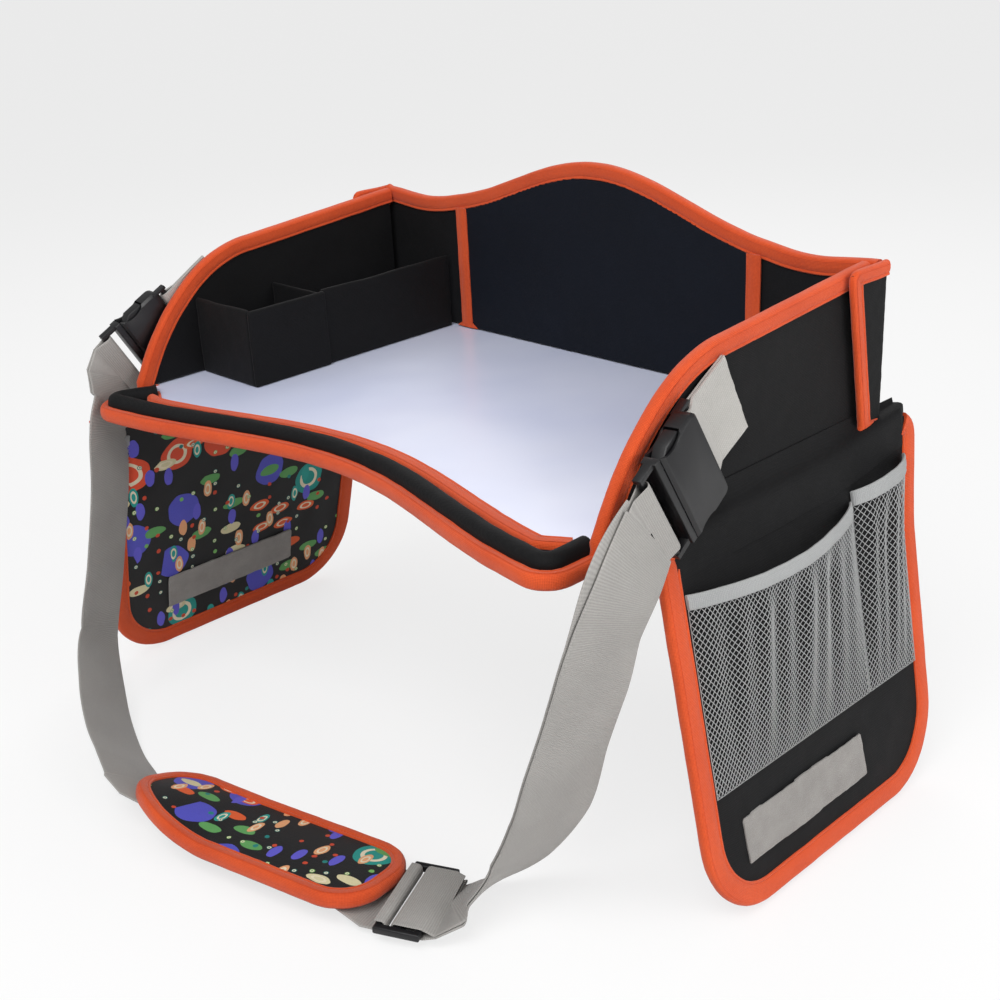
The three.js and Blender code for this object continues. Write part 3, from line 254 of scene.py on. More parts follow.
black_cloth = polyester("black_polyester", colour(5, 5, 6), colour(23, 23, 25))
navy_cloth = polyester("navy_polyester", colour(5, 10, 18), colour(17, 24, 36), 1.1 * mm)

# %% Orange bias tape
def bias_tape(name, deep, bright):
    finish = Finish(name)
    across, along, _ = finish.axes(finish.node("UVMap", {"uv_map": "tape"}))
    turns = 2 * math.pi / (1.5 * mm)
    dots = (((across + along) * turns).sine() * ((across - along) * turns).sine()) * 0.5 + 0.5
    grain = finish.noise(finish.place(), 700.0, 2.0)
    slow = finish.noise(finish.place(), 30.0, 2.0)
    shade = dots * 0.45 + grain * 0.3 + slow * 0.35
    finish.surface(Base_Color=finish.blend(shade, deep, bright), Roughness=0.72, Sheen_Weight=0.2,
                   Sheen_Roughness=0.4, Specular_IOR_Level=0.3)
    return finish.bump(dots * 0.5 + grain * 0.3 + slow * 0.6, 0.45 * mm)


orange_tape = bias_tape("orange_tape", colour(170, 44, 14), colour(238, 98, 46))

# %% Grey webbing, velour, net and hem tape
def webbing(name, deep, bright, rib=1.15 * mm):
    finish = Finish(name)
    across, along, _ = finish.axes(finish.node("UVMap", {"uv_map": "tape"}))
    ribs = (along * (2 * math.pi / rib)).sine() * 0.5 + 0.5
    threads = (across * (2 * math.pi / (0.9 * mm)) + ribs * 1.5).sine() * 0.5 + 0.5
    grain = finish.noise(finish.place(), 1100.0, 2.0)
    slow = finish.noise(finish.place(), 24.0, 2.0)
    shade = ribs * 0.22 + threads * 0.15 + grain * 0.3 + slow * 0.4
    finish.surface(Base_Color=finish.blend(shade, deep, bright), Roughness=0.66, Sheen_Weight=0.2,
                   Sheen_Roughness=0.45, Specular_IOR_Level=0.35)
    return finish.bump(ribs * 0.45 + threads * 0.25 + grain * 0.3, 0.22 * mm)


grey_webbing = webbing("grey_webbing", colour(118, 116, 113), colour(176, 173, 169))
pale_webbing = webbing("pale_webbing", colour(138, 136, 132), colour(200, 197, 192), 1.1 * mm)
hem_tape = webbing("hem_tape", colour(122, 124, 124), colour(176, 177, 177), 1.0 * mm)

velour = Finish("grey_velour")
pile = velour.noise(velour.place(), 1500.0, 3.0, 0.7)
patches = velour.noise(velour.place(), 90.0, 2.0)
velour.surface(Base_Color=velour.blend(pile * 0.6 + patches * 0.4, colour(108, 105, 102),
                                       colour(172, 168, 164)),
               Roughness=0.9, Sheen_Weight=0.5, Sheen_Roughness=0.35, Specular_IOR_Level=0.2)
velour.bump(pile * 0.7 + patches * 0.3, 0.7 * mm)

net_yarn = Finish("net_yarn")
twist = net_yarn.noise(net_yarn.place(), 1400.0, 2.0)
net_yarn.surface(Base_Color=net_yarn.blend(twist, colour(120, 121, 122), colour(196, 197, 197)),
                 Roughness=0.55, Sheen_Weight=0.3, Specular_IOR_Level=0.45)
net_yarn.bump(twist, 0.2 * mm)

# %% Clear film, moulded plastic and board
film = Finish("clear_film")
haze = film.noise(film.place(), 9.0, 3.0, 0.5)
ripple = film.noise(film.place(), 30.0, 1.0, 0.4)
film.surface(Base_Color=film.blend(haze, colour(196, 203, 233), colour(226, 230, 246)),
             Roughness=haze * 0.12 + 0.26, Coat_Weight=0.25, Coat_Roughness=0.22,
             Specular_IOR_Level=0.5)
film.bump(ripple, 0.35 * mm)

plastic = Finish("buckle_plastic")
stipple = plastic.noise(plastic.place(), 1600.0, 2.0)
smear = plastic.noise(plastic.place(), 60.0, 3.0)
plastic.surface(Base_Color=plastic.blend(smear, colour(12, 12, 14), colour(24, 24, 27)),
                Roughness=smear * 0.2 + 0.3, Specular_IOR_Level=0.5)
plastic.bump(stipple, 0.04 * mm)

board = Finish("stiff_board")
fleck = board.noise(board.place(), 200.0, 2.0)
board.surface(Base_Color=board.blend(fleck, colour(28, 28, 30), colour(44, 44, 46)), Roughness=0.6)

# %% [markdown]
# ## Outlines
# Every panel is a flat cut, so each outline is drawn flat and then stood in its own plane. The
# belly curve of the front edge is one wave of a cosine, the walls start in a round nose, and the
# back wall rises in an arch. The numbers follow the solids loaded from model.glb.

# %% Flat curves and planes
half_width = 200 * mm
front_y = -132 * mm
back_y = 132 * mm
wall_front = -98 * mm
wall_back = 123.5 * mm
wall_foot = 8.3 * mm
wall_top = 99.3 * mm
wall_inner = 195 * mm
back_half = 202.4 * mm
pocket_half = 123 * mm
film_margin = 20.5 * mm
edge_corner = 16 * mm
crease_x, crease_z = 203 * mm, -6.3 * mm
flap_splay = math.radians(13)


def belly(x):
    """How far back the front edge lies at a place across the tray."""
    return front_y + 36 * mm * (1 + math.cos(math.pi * x / half_width)) / 2


def spread(low, high, steps):
    return [low + (high - low) * i / steps for i in range(steps + 1)]


def arc(x, y, radius, start, end, steps):
    return [(x + radius * math.cos(a), y + radius * math.sin(a)) for a in spread(start, end, steps)]


def front_edge(side_y):
    """The base's front edge from the left side round the belly to the right side."""
    r = edge_corner
    left = arc(-half_width + r, front_y + r, r, math.pi, 1.5 * math.pi, 8)
    middle = [(x, belly(x)) for x in spread(-half_width + 2 * r, half_width - 2 * r, 60)]
    right = arc(half_width - r, front_y + r, r, 1.5 * math.pi, 2 * math.pi, 8)
    return [(-half_width, side_y), *left, *middle, *right, (half_width, side_y)]


def film_edge():
    """The film's front edge, from under one wall's nose to the other's."""
    corner = half_width - 2 * edge_corner
    middle = [(x, belly(x) + film_margin) for x in spread(-corner, corner, 60)]
    end_x, end_y = 197 * mm, wall_front + 4 * mm
    return [(-end_x, end_y), *middle, (end_x, end_y)]


def side_wall_edge():
    """The wall's edge from the foot of its nose up and back to the rear corner, as (y, z)."""
    nose = [(wall_front + 98 * mm * (1 - math.cos(a)), wall_foot + 81 * mm * math.sin(a) ** 1.6)
            for a in spread(0, math.pi / 2, 28)]
    rise = 10 * mm
    top = [(y, wall_top - rise + rise * y / wall_back) for y in spread(10 * mm, wall_back, 8)]
    return [*nose, *top]


def back_wall_top(x):
    reach = abs(x)
    arch_half = 1.2 * pocket_half
    arch = math.cos(math.pi * reach / (2 * arch_half)) ** 2 if reach < arch_half else 0
    outside = max(reach - pocket_half, 0) / (back_half - pocket_half)
    return wall_top + 34 * mm * arch - 3 * mm * math.sin(math.pi * outside) ** 2


def back_wall_edge(half, drop=0.0):
    return [(x, back_wall_top(x) - drop) for x in spread(-half, half, 64)]


def inset(points, distance):
    """A line moved to its left by a distance."""
    return [(x + nx * distance, y + ny * distance)
            for (x, y), (nx, ny) in zip(points, left_normals(points))]


def left_normals(points, closed=False):
    """Normals to the left of a line's run, stretched at corners as a mitre is."""
    count = len(points)
    found = []
    for i, point in enumerate(points):
        before = Vector(points[(i - 1) % count if closed else max(i - 1, 0)])
        after = Vector(points[(i + 1) % count if closed else min(i + 1, count - 1)])
        into = (Vector(point) - before).normalized() or (after - Vector(point)).normalized()
        out = (after - Vector(point)).normalized() or into
        run = (into + out).normalized()
        stretch = 1 / max(run.dot(into), 0.5)
        found.append((-run.y * stretch, run.x * stretch))
    return found


def evenly(points, step, closed=False):
    """The same line with a point about every step along it."""
    line = [Vector(p) for p in points] + ([Vector(points[0])] if closed else [])
    reach = [0.0]
    for a, b in zip(line, line[1:]):
        reach.append(reach[-1] + (b - a).length)
    count = max(2, round(reach[-1] / step))
    found, at = [], 0
    for distance in spread(0, reach[-1], count)[: count if closed else count + 1]:
        while at < len(line) - 2 and reach[at + 1] < distance:
            at += 1
        share = (distance - reach[at]) / max(reach[at + 1] - reach[at], 1e-9)
        found.append(tuple(line[at].lerp(line[at + 1], min(share, 1.0))))
    return found


# Each plane turns (first, second, beside) into a place. On the floor these are (x, y, z), on a
# side wall (y, z, x) and on the back wall (x, z, y).
on_floor = Matrix.Identity(4)
on_side = Matrix(((0, 0, 1, 0), (1, 0, 0, 0), (0, 1, 0, 0), (0, 0, 0, 1)))
on_back = Matrix(((1, 0, 0, 0), (0, 0, 1, 0), (0, 1, 0, 0), (0, 0, 0, 1)))
mirror_x = Matrix.Diagonal((-1, 1, 1, 1))


def flap_plane(side):
    """The plane of a side flap, hung from its crease and splayed outwards."""
    crease = Matrix.Translation((side * crease_x, 0, crease_z))
    hang = crease @ Matrix.Rotation(-side * flap_splay, 4, "Y")
    return hang @ Matrix.Diagonal((side, 1, 1, 1)) @ on_side


# %% [markdown]
# ## Sewing bias tape and webbing
# Tape and webbing are long, thin and flat, and they follow curves with a steady width. A section
# swept along a line is the plain way to make them, and it also gives the map that the twill
# follows: metres across the tape and metres along it. The section has a stitch groove near its
# inner edge.

# %% Sweep a section along a line
def new_mesh(name, points, faces):
    mesh = bpy.data.meshes.new(name)
    mesh.from_pydata([tuple(p) for p in points], [], faces)
    piece = bpy.data.objects.new(name, mesh)
    bpy.context.scene.collection.objects.link(piece)
    return piece


def face_out(piece, smooth_angle=50):
    """Merges doubles, turns every face outwards and shades the piece smooth."""
    bpy.ops.object.select_all(action="DESELECT")
    bpy.context.view_layer.objects.active = piece
    piece.select_set(True)
    bpy.ops.object.mode_set(mode="EDIT")
    bpy.ops.mesh.select_all(action="SELECT")
    bpy.ops.mesh.remove_doubles(threshold=0.00002)
    bpy.ops.mesh.normals_make_consistent(inside=False)
    bpy.ops.object.mode_set(mode="OBJECT")
    bpy.ops.object.shade_smooth_by_angle(angle=math.radians(smooth_angle))
    piece.select_set(False)
    return piece


def sweep(name, rings, across, along, closed=False):
    """Joins rings of points into a band with a map of metres across and along."""
    sides, count = len(rings[0]), len(rings)
    faces, maps = [], []
    for i in range(count if closed else count - 1):
        following = (i + 1) % count
        for j in range(sides):
            k = (j + 1) % sides
            here, there = i * sides, following * sides
            faces.append((here + j, here + k, there + k, there + j))
            after = along[i + 1] if i + 1 < len(along) else along[i] + (along[i] - along[i - 1])
            maps.append(((across[j], along[i]), (across[k], along[i]), (across[k], after),
                         (across[j], after)))
    if not closed:
        for end in (0, count - 1):
            faces.append(tuple(end * sides + j for j in range(sides)))
            maps.append(tuple((across[j], along[end]) for j in range(sides)))
    piece = new_mesh(name, [p for ring in rings for p in ring], faces)
    layer = piece.data.uv_layers.new(name="tape")
    for polygon, corners in zip(piece.data.polygons, maps):
        for loop, corner in zip(polygon.loop_indices, corners):
            layer.data[loop].uv = corner
    return face_out(piece)


def lengths(points):
    """How far along a line each of its points is."""
    found = [0.0]
    for a, b in zip(points, points[1:]):
        found.append(found[-1] + (Vector(b) - Vector(a)).length)
    return found


# %% Tape round an edge
def tape_section(width, reach, half, skin=1.1 * mm):
    """(inwards, beside) places round a tape: a leg, the round nose over the edge, the other leg."""
    top = half + skin
    groove = min(1.7 * mm, width * 0.3)
    leg = [(width, half - 0.3 * mm), (width - 0.1 * mm, top - 0.3 * mm), (width - 0.5 * mm, top),
           (width - groove + 0.5 * mm, top - 0.1 * mm), (width - groove, top - 0.45 * mm),
           (width - groove - 0.6 * mm, top - 0.05 * mm), (width * 0.45, top + 0.3 * mm),
           (width * 0.12, top + 0.2 * mm)]
    bend = min(top, 2.6 * mm)
    nose = [(bend - reach - bend * math.sin(a), top * math.cos(a) ** 0.8 if a < math.pi / 2
             else -top * abs(math.cos(a)) ** 0.8) for a in spread(0, math.pi, 8)]
    return [*leg, *nose, *[(u, -w) for u, w in reversed(leg)]]


def bind(name, line, section, plane, beside, inward=1, closed=False, step=3 * mm, sway=0.22 * mm):
    """Sews tape along a flat line. beside is the height of the tape's middle over the plane."""
    line = evenly(line, step, closed)
    normals = left_normals(line, closed)
    along = lengths(line)
    across = lengths(section)
    across = [min(a, across[-1] - a) for a in across]
    rings = []
    for (x, y), (nx, ny) in zip(line, normals):
        ring = []
        for u, w in section:
            soft = noise.noise(Vector((x, y, w)) * 70) * sway
            press = noise.noise(Vector((x + 7, y, w * 3)) * 160) * sway * 0.7
            u, w = u + soft, w * (1 + press / max(abs(section[6][1]), 1 * mm))
            ring.append(plane @ Vector((x + inward * nx * u, y + inward * ny * u, beside + w)))
        rings.append(ring)
    return dress(sweep(name, rings, across, along, closed), orange_tape)

# %% [markdown]
# ## The base: cover, bumper roll and bindings
# Cloth over a board is almost flat, with low ripples and small puckers where the tape pulls it in.
# Each cut is drawn as a filled outline, extruded to its thickness and remeshed into an even grid.
# Its points then move a little, and less near the edge, so that the cloth stays under its tape.

# %% Cloth over a board
def edge_distance(point, line):
    best = 1.0
    x, y = point
    for (ax, ay), (bx, by) in zip(line, line[1:] + line[:1]):
        dx, dy = bx - ax, by - ay
        span = dx * dx + dy * dy
        share = 0 if span == 0 else max(0, min(1, ((x - ax) * dx + (y - ay) * dy) / span))
        best = min(best, math.hypot(x - ax - share * dx, y - ay - share * dy))
    return best


def even_grid(piece, cell):
    """Remeshes the active piece into an even grid."""
    grid = piece.modifiers.new("even_grid", "REMESH")
    grid.mode = "VOXEL"
    grid.voxel_size = cell
    bpy.ops.object.modifier_apply(modifier=grid.name)


def solid_copy(node, name):
    """A copy of a solid as a piece of its own, active and selected on its own."""
    bpy.ops.object.select_all(action="DESELECT")
    piece = bpy.data.objects.new(name, nodes[node].data.copy())
    bpy.context.scene.collection.objects.link(piece)
    bpy.context.view_layer.objects.active = piece
    piece.select_set(True)
    return piece


def cloth_panel(name, outline, thick, plane, beside, voxel=2.4 * mm, ripple=0.9 * mm,
                pucker=0.25 * mm, bound=6 * mm, swell=None):
    """A flat cut of cloth. beside is where its thickness starts over the plane.

    With a swell the piece is a cushion, and its two faces crown apart. Else both follow its board.
    """
    bpy.ops.mesh.primitive_circle_add(vertices=len(outline), radius=1, fill_type="NGON")
    piece = bpy.context.object
    piece.name = name
    for vertex, (x, y) in zip(piece.data.vertices, outline):
        vertex.co = (x, y, 0)
    bpy.ops.object.mode_set(mode="EDIT")
    bpy.ops.mesh.select_all(action="SELECT")
    bpy.ops.mesh.extrude_region_move(TRANSFORM_OT_translate={"value": (0, 0, thick)})
    bpy.ops.mesh.select_all(action="SELECT")
    bpy.ops.mesh.normals_make_consistent(inside=False)
    bpy.ops.object.mode_set(mode="OBJECT")
    even_grid(piece, voxel)
    seed = sum(ord(c) for c in name) * 0.137
    for vertex in piece.data.vertices:
        x, y, z = vertex.co
        gap = edge_distance((x, y), outline)
        inside = min(max((gap - bound) / (14 * mm), 0), 1)
        low = noise.noise(Vector((x * 24 + seed, y * 24, seed)))
        fine = noise.noise(Vector((x * 75, y * 75, seed)))
        small = noise.noise(Vector((x * 190, y * 190, seed))) * math.exp(-gap / (12 * mm))
        move = ripple * inside * (low + 0.35 * fine) + pucker * small
        face = 1 if z > thick / 2 else -1
        vertex.co.z = z + (move if swell is None else face * (move + swell * inside))
    piece.data.transform(plane @ Matrix.Translation((0, 0, beside)))
    face_out(piece, 60)
    return dress(piece, black_cloth)


def rounded_block(name, middle, size, round_off):
    """A block with rounded edges, left as the active piece."""
    bpy.ops.mesh.primitive_cube_add(size=1, location=middle, scale=size)
    piece = bpy.context.object
    piece.name = name
    bpy.ops.object.transform_apply(location=True, rotation=True, scale=True)
    bpy.ops.object.mode_set(mode="EDIT")
    bpy.ops.mesh.select_all(action="SELECT")
    bpy.ops.mesh.bevel(offset=round_off, segments=3, affect="EDGES")
    bpy.ops.object.mode_set(mode="OBJECT")
    return piece


def on_body(piece, body, material_slot, *replaced):
    """Ties a finished piece to its body and the solids that it stands for."""
    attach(piece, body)
    if replaced:
        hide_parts(*replaced)
    return piece


# %% Base cover and side skirts
base_corners = [(half_width, back_y), (-half_width, back_y)]
base_outline = evenly([*front_edge(wall_front - 2.5 * mm), *base_corners], 6 * mm, closed=True)
base_cover = cloth_panel("base_cover_cloth", base_outline, 5.9 * mm, on_floor, 0, 2.6 * mm)
on_body(base_cover, "tray", "black_polyester", "base_cover")
for side, name in ((1, "right"), (-1, "left")):
    middle = (side * 200.5 * mm, (back_y + wall_front) / 2, -1.3 * mm)
    skirt = rounded_block(name + "_base_skirt", middle, (4.2 * mm, back_y - wall_front, 6.2 * mm),
                          1.2 * mm)
    bpy.ops.object.shade_smooth_by_angle(angle=math.radians(50))
    on_body(dress(skirt, black_cloth), "tray", "black_polyester", "base_cover")

# %% Bumper roll: foam in a cloth tube, with a puckered seam inside
roll_line = evenly(inset(front_edge(wall_front + 2 * mm), 9.8 * mm), 3 * mm)
roll_along = lengths(roll_line)
roll_radius, roll_height = 5.6 * mm, 7.7 * mm
seam_angle = 0.35
rings = []
for (x, y), (nx, ny), distance in zip(roll_line, left_normals(roll_line), roll_along):
    ring = []
    for a in spread(0, 2 * math.pi, 20)[:-1]:
        out, up = math.cos(a), math.sin(a)
        crease = 0.35 * mm * noise.noise(Vector((distance * 90, out * 1.2, up * 1.2)))
        from_seam = min(abs(a - seam_angle), 2 * math.pi - abs(a - seam_angle))
        seam = 0.7 * mm * math.exp(-(from_seam / 0.22) ** 2)
        slow = 0.4 * mm * noise.noise(Vector((distance * 18, 3.1, out)))
        r = roll_radius + crease + slow - seam
        ring.append(Vector((x + nx * r * out, y + ny * r * out, roll_height + r * up)))
    rings.append(ring)
round_lengths = [roll_radius * a for a in spread(0, 2 * math.pi, 20)[:-1]]
roll = dress(sweep("bumper_roll_cloth", rings, round_lengths, roll_along), black_cloth)
on_body(roll, "tray", "black_polyester", "bumper_roll")

# %% Outer and inner bindings of the front edge
outer_binding = bind("bumper_edge_tape", front_edge(wall_front - 0.3 * mm),
                     tape_section(5.2 * mm, 1.6 * mm, 3.2 * mm), on_floor, 2.4 * mm)
on_body(outer_binding, "tray", "orange_binding", "bumper_binding")
inner_binding = bind("film_edge_tape", film_edge(), tape_section(8 * mm, 1.2 * mm, 2.5 * mm),
                     on_floor, 5.65 * mm)
for vertex in inner_binding.data.vertices:
    if abs(vertex.co.x) > 182 * mm:
        vertex.co.y = min(vertex.co.y, wall_front + 1 * mm)
on_body(inner_binding, "tray", "orange_binding", "inner_binding")

# %% Writing film, tucked in under the foot of each wall
writing_sheet = solid_copy("writing_film", "writing_sheet")
writing_sheet.select_set(False)
for vertex in writing_sheet.data.vertices:
    p = vertex.co
    p.x = min(max(p.x, 3 * mm - half_width), half_width - 3 * mm)
    p.y = min(p.y, back_y - 3 * mm)
on_body(dress(writing_sheet, film), "tray", "clear_film", "writing_film")
for node in nodes:
    if node.endswith("_board"):
        dress(nodes[node], board)

# %% [markdown]
# ## Folding walls
# Both side walls and the back wall are boards in cloth sleeves, with tape over the top and the
# nose. The back wall also holds a thin navy pocket for a tablet between two upright tapes.

# %% Side walls
wall_edge = side_wall_edge()
wall_feet = [(wall_back, wall_foot), (wall_front, wall_foot)]
wall_outline = evenly([*wall_edge, *wall_feet], 5 * mm, closed=True)
wall_line = [(wall_front, wall_foot - 2 * mm), (wall_front, wall_foot + 4 * mm), *wall_edge[5:]]
wall_tape_section = tape_section(9 * mm, 1.2 * mm, 2.5 * mm)
side_body = {1: "right_wall", -1: "tray"}
for side, name in ((1, "right"), (-1, "left")):
    plane = on_side if side > 0 else mirror_x @ on_side
    cover = cloth_panel(name + "_wall_cloth", wall_outline, 4.8 * mm, plane, wall_inner + 0.1 * mm)
    on_body(cover, side_body[side], "black_polyester", name + "_wall_cover")
    tape = bind(name + "_wall_tape", wall_line, wall_tape_section, plane, wall_inner + 2.5 * mm,
                inward=-1)
    on_body(tape, side_body[side], "orange_binding", name + "_wall_binding")

# %% Back wall, tablet pocket and its two tapes
back_line = back_wall_edge(back_half)
back_feet = [(back_half, wall_foot), (-back_half, wall_foot)]
back_outline = evenly([*back_line, *back_feet], 5 * mm, closed=True)
back_cover = cloth_panel("back_wall_cloth", back_outline, 4.8 * mm, on_back, back_y - 4.9 * mm)
on_body(back_cover, "back_wall", "black_polyester", "back_wall_cover")
back_tape = bind("back_wall_tape", back_line, wall_tape_section, on_back, back_y - 2.5 * mm,
                 inward=-1)
on_body(back_tape, "back_wall", "orange_binding", "back_wall_binding")
panel_foot = 8.6 * mm
pocket_top = back_wall_edge(pocket_half, 8.5 * mm)
pocket_feet = [(pocket_half, panel_foot), (-pocket_half, panel_foot)]
pocket_outline = evenly([*pocket_top, *pocket_feet], 5 * mm, closed=True)
pocket = cloth_panel("tablet_pocket_cloth", pocket_outline, 1.4 * mm, on_back, back_y - 6.2 * mm,
                     voxel=1.3 * mm, ripple=0.8 * mm, bound=3 * mm)
on_body(dress(pocket, navy_cloth), "back_wall", "navy_polyester", "tablet_pocket")
half_strip = [(5, 0), (5, 0.9), (4.4, 1.15), (3.6, 0.9), (2.8, 1.2)]
strip = [*half_strip, (0, 1.35), *[(-u, w) for u, w in reversed(half_strip)]]
strip = [(u * mm, -w * mm) for u, w in strip]
for side, name in ((1, "right"), (-1, "left")):
    x = side * pocket_half
    upright = [(x, 9 * mm), (x, back_wall_top(x) - 8 * mm)]
    tape = bind(name + "_pocket_upright_tape", upright, strip, on_back, back_y - 6.1 * mm)
    on_body(tape, "back_wall", "orange_binding", name + "_pocket_tape")

# %% Corner wings, which a hook patch holds to the side walls
wing_line = [(114 * mm, panel_foot), (98 * mm, wall_top), (back_y, wall_top)]
wing_outline = evenly([*wing_line, (back_y, panel_foot)], 4 * mm, closed=True)
wing_edge = [wing_line[0], (98.9 * mm, 94 * mm), (99.6 * mm, 97.6 * mm), (102.5 * mm, wall_top),
             wing_line[2]]
for side, name in ((1, "right"), (-1, "left")):
    plane = on_side if side > 0 else mirror_x @ on_side
    body = name + "_wing"
    panel = cloth_panel(name + "_wing_cloth", wing_outline, 2.4 * mm, plane, 204.2 * mm,
                        voxel=1.4 * mm, ripple=0.5 * mm)
    on_body(panel, body, "black_polyester", name + "_wing_panel")
    tape = bind(name + "_wing_tape", wing_edge, tape_section(7.2 * mm, 1.2 * mm, 1.2 * mm), plane,
                205.4 * mm, inward=-1, step=2 * mm)
    on_body(tape, body, "orange_binding", name + "_wing_binding")
    dress(nodes[name + "_wing_hook_patch"], velour)

# %% [markdown]
# ## Organiser on the left wall
# Three cloth covered boards make two open boxes along the left wall. Each is a block with rounded
# edges, remeshed finely and rippled, so its folds catch the light as sewn corners do.

# %% Soft boards of the organiser
def soft_board(name, low, high):
    """A cloth covered board between two corners, with its edges rounded and its faces rippled."""
    low, high = Vector(low), Vector(high)
    ripple = 0.7 * mm
    piece = rounded_block(name, (low + high) / 2, high - low, 0.9 * mm)
    even_grid(piece, 1.1 * mm)
    thin = min(range(3), key=lambda i: high[i] - low[i])
    for vertex in piece.data.vertices:
        p = vertex.co
        rise = min(max((p.z - low.z) / (high.z - low.z), 0), 1)
        move = noise.noise(p * 38) * ripple * (0.35 + rise) + noise.noise(p * 110) * ripple * 0.35
        vertex.co[thin] += move
        vertex.co.z += noise.noise(Vector((p.x * 30, p.y * 30, 5))) * 0.8 * mm * rise
    face_out(piece, 60)
    return dress(piece, black_cloth)


box_height = 50
for name, (x, y), (far_x, far_y, height), node in (
        ("end", (-194.7, -50.3), (-136.9, -47.4, box_height), "end_panel"),
        ("divider", (-194.7, 11.7), (-139.2, 14.5, box_height - 3), "divider"),
        ("front_face", (-137.5, -50.3), (-134.6, 11.4, box_height), "face_panel"),
        ("rear_face", (-139.7, 10.4), (-136.8, 123.4, box_height + 0.6), "face_panel")):
    piece = soft_board(f"organiser_{name}_cloth", (x * mm, y * mm, wall_foot),
                       (far_x * mm, far_y * mm, wall_foot + height * mm))
    on_body(piece, "tray", "black_polyester", "organiser_" + node)

# %% [markdown]
# ## Side flaps with net pockets
# Each flap hangs from a sewn crease. Its inner face has a printed pattern, here of plain pebbles,
# dots and leaves, and its outer face has two net pockets with a satin hem. The right one has a
# velour strip on its outer face, and the left one on its inner face.

# %% A generic print of pebbles, leaves and dots on black
def print_cloth(name, plane, size=1.0):
    finish = Finish(name)
    rows = plane.to_3x3().inverted()
    along, down = (finish.node("VectorMath", {"operation": "DOT_PRODUCT"},
                               {0: finish.place(), 1: tuple(rows[k])}, out="Value") for k in (0, 1))
    flat = finish.node("CombineXYZ", values={"X": along, "Y": down, "Z": 0.0})
    result = colour(14, 14, 17)
    # Cells to a metre, a motif's radius in cells, stretch, turn, share of cells used, three inks
    looks = [(27, 0.34, (1, 1, 1), 0, 0.5, ((24, 150, 140), (228, 78, 44), (84, 84, 196))),
             (36, 0.30, (1, 2.1, 1), 0.7, 0.42, ((224, 214, 170), (232, 96, 44), (96, 164, 92))),
             (42, 0.28, (2, 1, 1), -0.5, 0.36, ((30, 160, 150), (240, 170, 120), (98, 92, 210))),
             (105, 0.17, (1, 1, 1), 0, 0.3, ((120, 186, 96), (26, 132, 126), (206, 70, 40)))]
    for scale, radius, stretch, turn, share, ink in looks:
        at = finish.node("Mapping", values={"Vector": flat, "Rotation": (0, 0, turn),
                                            "Scale": stretch, "Location": (turn, scale * 0.01, 0)})
        cells = finish.node("TexVoronoi", {"voronoi_dimensions": "2D"}, {
            "Vector": at, "Scale": scale / size, "Randomness": 0.7})
        node = cells.socket.node
        distance = Wire(finish.tree, node.outputs["Distance"])
        tone = Wire(finish.tree, node.outputs["Color"])
        red, green, blue = (Wire(finish.tree, s) for s in finish.node(
            "SeparateColor", values={0: tone}).socket.node.outputs)
        hue = finish.blend(green > 0.5, colour(*ink[0]), colour(*ink[1]))
        hue = finish.blend(blue > 0.62, hue, colour(*ink[2]))
        edge = radius + (finish.noise(at, scale * 2.2, 1.0) - 0.5) * 0.16
        mark = (distance < edge) * (red < share)
        ring = ((distance - edge * 0.55).size() < 0.035) * (red < share) * (blue < 0.45)
        result = finish.blend(mark, result, hue)
        result = finish.blend(ring, result, colour(238, 226, 196))
    grain = finish.noise(finish.place(), 900.0, 2.0)
    shade = finish.node("Mix", {"data_type": "RGBA", "blend_type": "MULTIPLY"}, {
        0: 0.35, 6: result, 7: finish.blend(grain, (0.5, 0.5, 0.5, 1), (1, 1, 1, 1))}, out=2)
    finish.surface(Base_Color=shade, Roughness=0.6, Sheen_Weight=0.1, Specular_IOR_Level=0.4)
    return finish.bump(weave_height(finish, finish.place(), 0.8 * mm) * 0.2 + grain * 0.3, 0.3 * mm)


# %% Outline of a flap, drawn as (y, z) from its crease
flap_length, flap_width, hem_rise, net_foot = 202.5 * mm, 222 * mm, 1.5 * mm, 133.6 * mm
flaps = {1: {"centre": 49 * mm, "lean": -16 * mm}, -1: {"centre": -13 * mm, "lean": -4 * mm}}


def flap_y(flap, share, z):
    """Where a share of the flap's half width lies at a height."""
    depth = (hem_rise - z) / flap_length
    return flap["centre"] + share * (flap_width / 2 - 7 * mm * depth) + flap["lean"] * depth


def flap_outline(flap):
    half, top, low, foot = flap_width / 2, 14 * mm, 46 * mm, hem_rise - flap_length
    points = [*arc(-half + top, hem_rise - top, top, math.pi / 2, math.pi, 6),
              *arc(-half + low, foot + low, low, math.pi, 1.5 * math.pi, 14),
              *arc(half - low, foot + low, low, 1.5 * math.pi, 2 * math.pi, 14),
              *arc(half - top, hem_rise - top, top, 0, math.pi / 2, 6)]
    return [(flap_y(flap, x / half, z), z) for x, z in points]


def net_place(flap, pocket, across, down):
    """(out, y, z) on a pocket's net: it stands off the flap at its mouth and gathers into folds."""
    z = hem_rise - pocket["drop"] - down * (net_foot - pocket["drop"])
    sag = pocket["sag"] * math.sin(math.pi * across) * (1 - down)
    free = math.sin(math.pi * min(max(across, 0), 1)) ** 0.7 * max(1 - down, 0) ** 0.8
    y = flap_y(flap, pocket["from"] + (pocket["to"] - pocket["from"]) * across, z)
    folds = sum(depth * math.cos(2 * math.pi * (across * count + shift + 0.12 * down))
                for count, shift, depth in pocket["folds"])
    fold = folds * min(1, 4 * across) * min(1, 4 * (1 - across)) * max(1 - down, 0) ** 0.7
    fold *= min(1, 0.12 + 5 * down)
    out = 5.2 * mm + pocket["bulge"] * free + max(fold, -0.8 * pocket["bulge"] * free)
    return out, y, z - sag


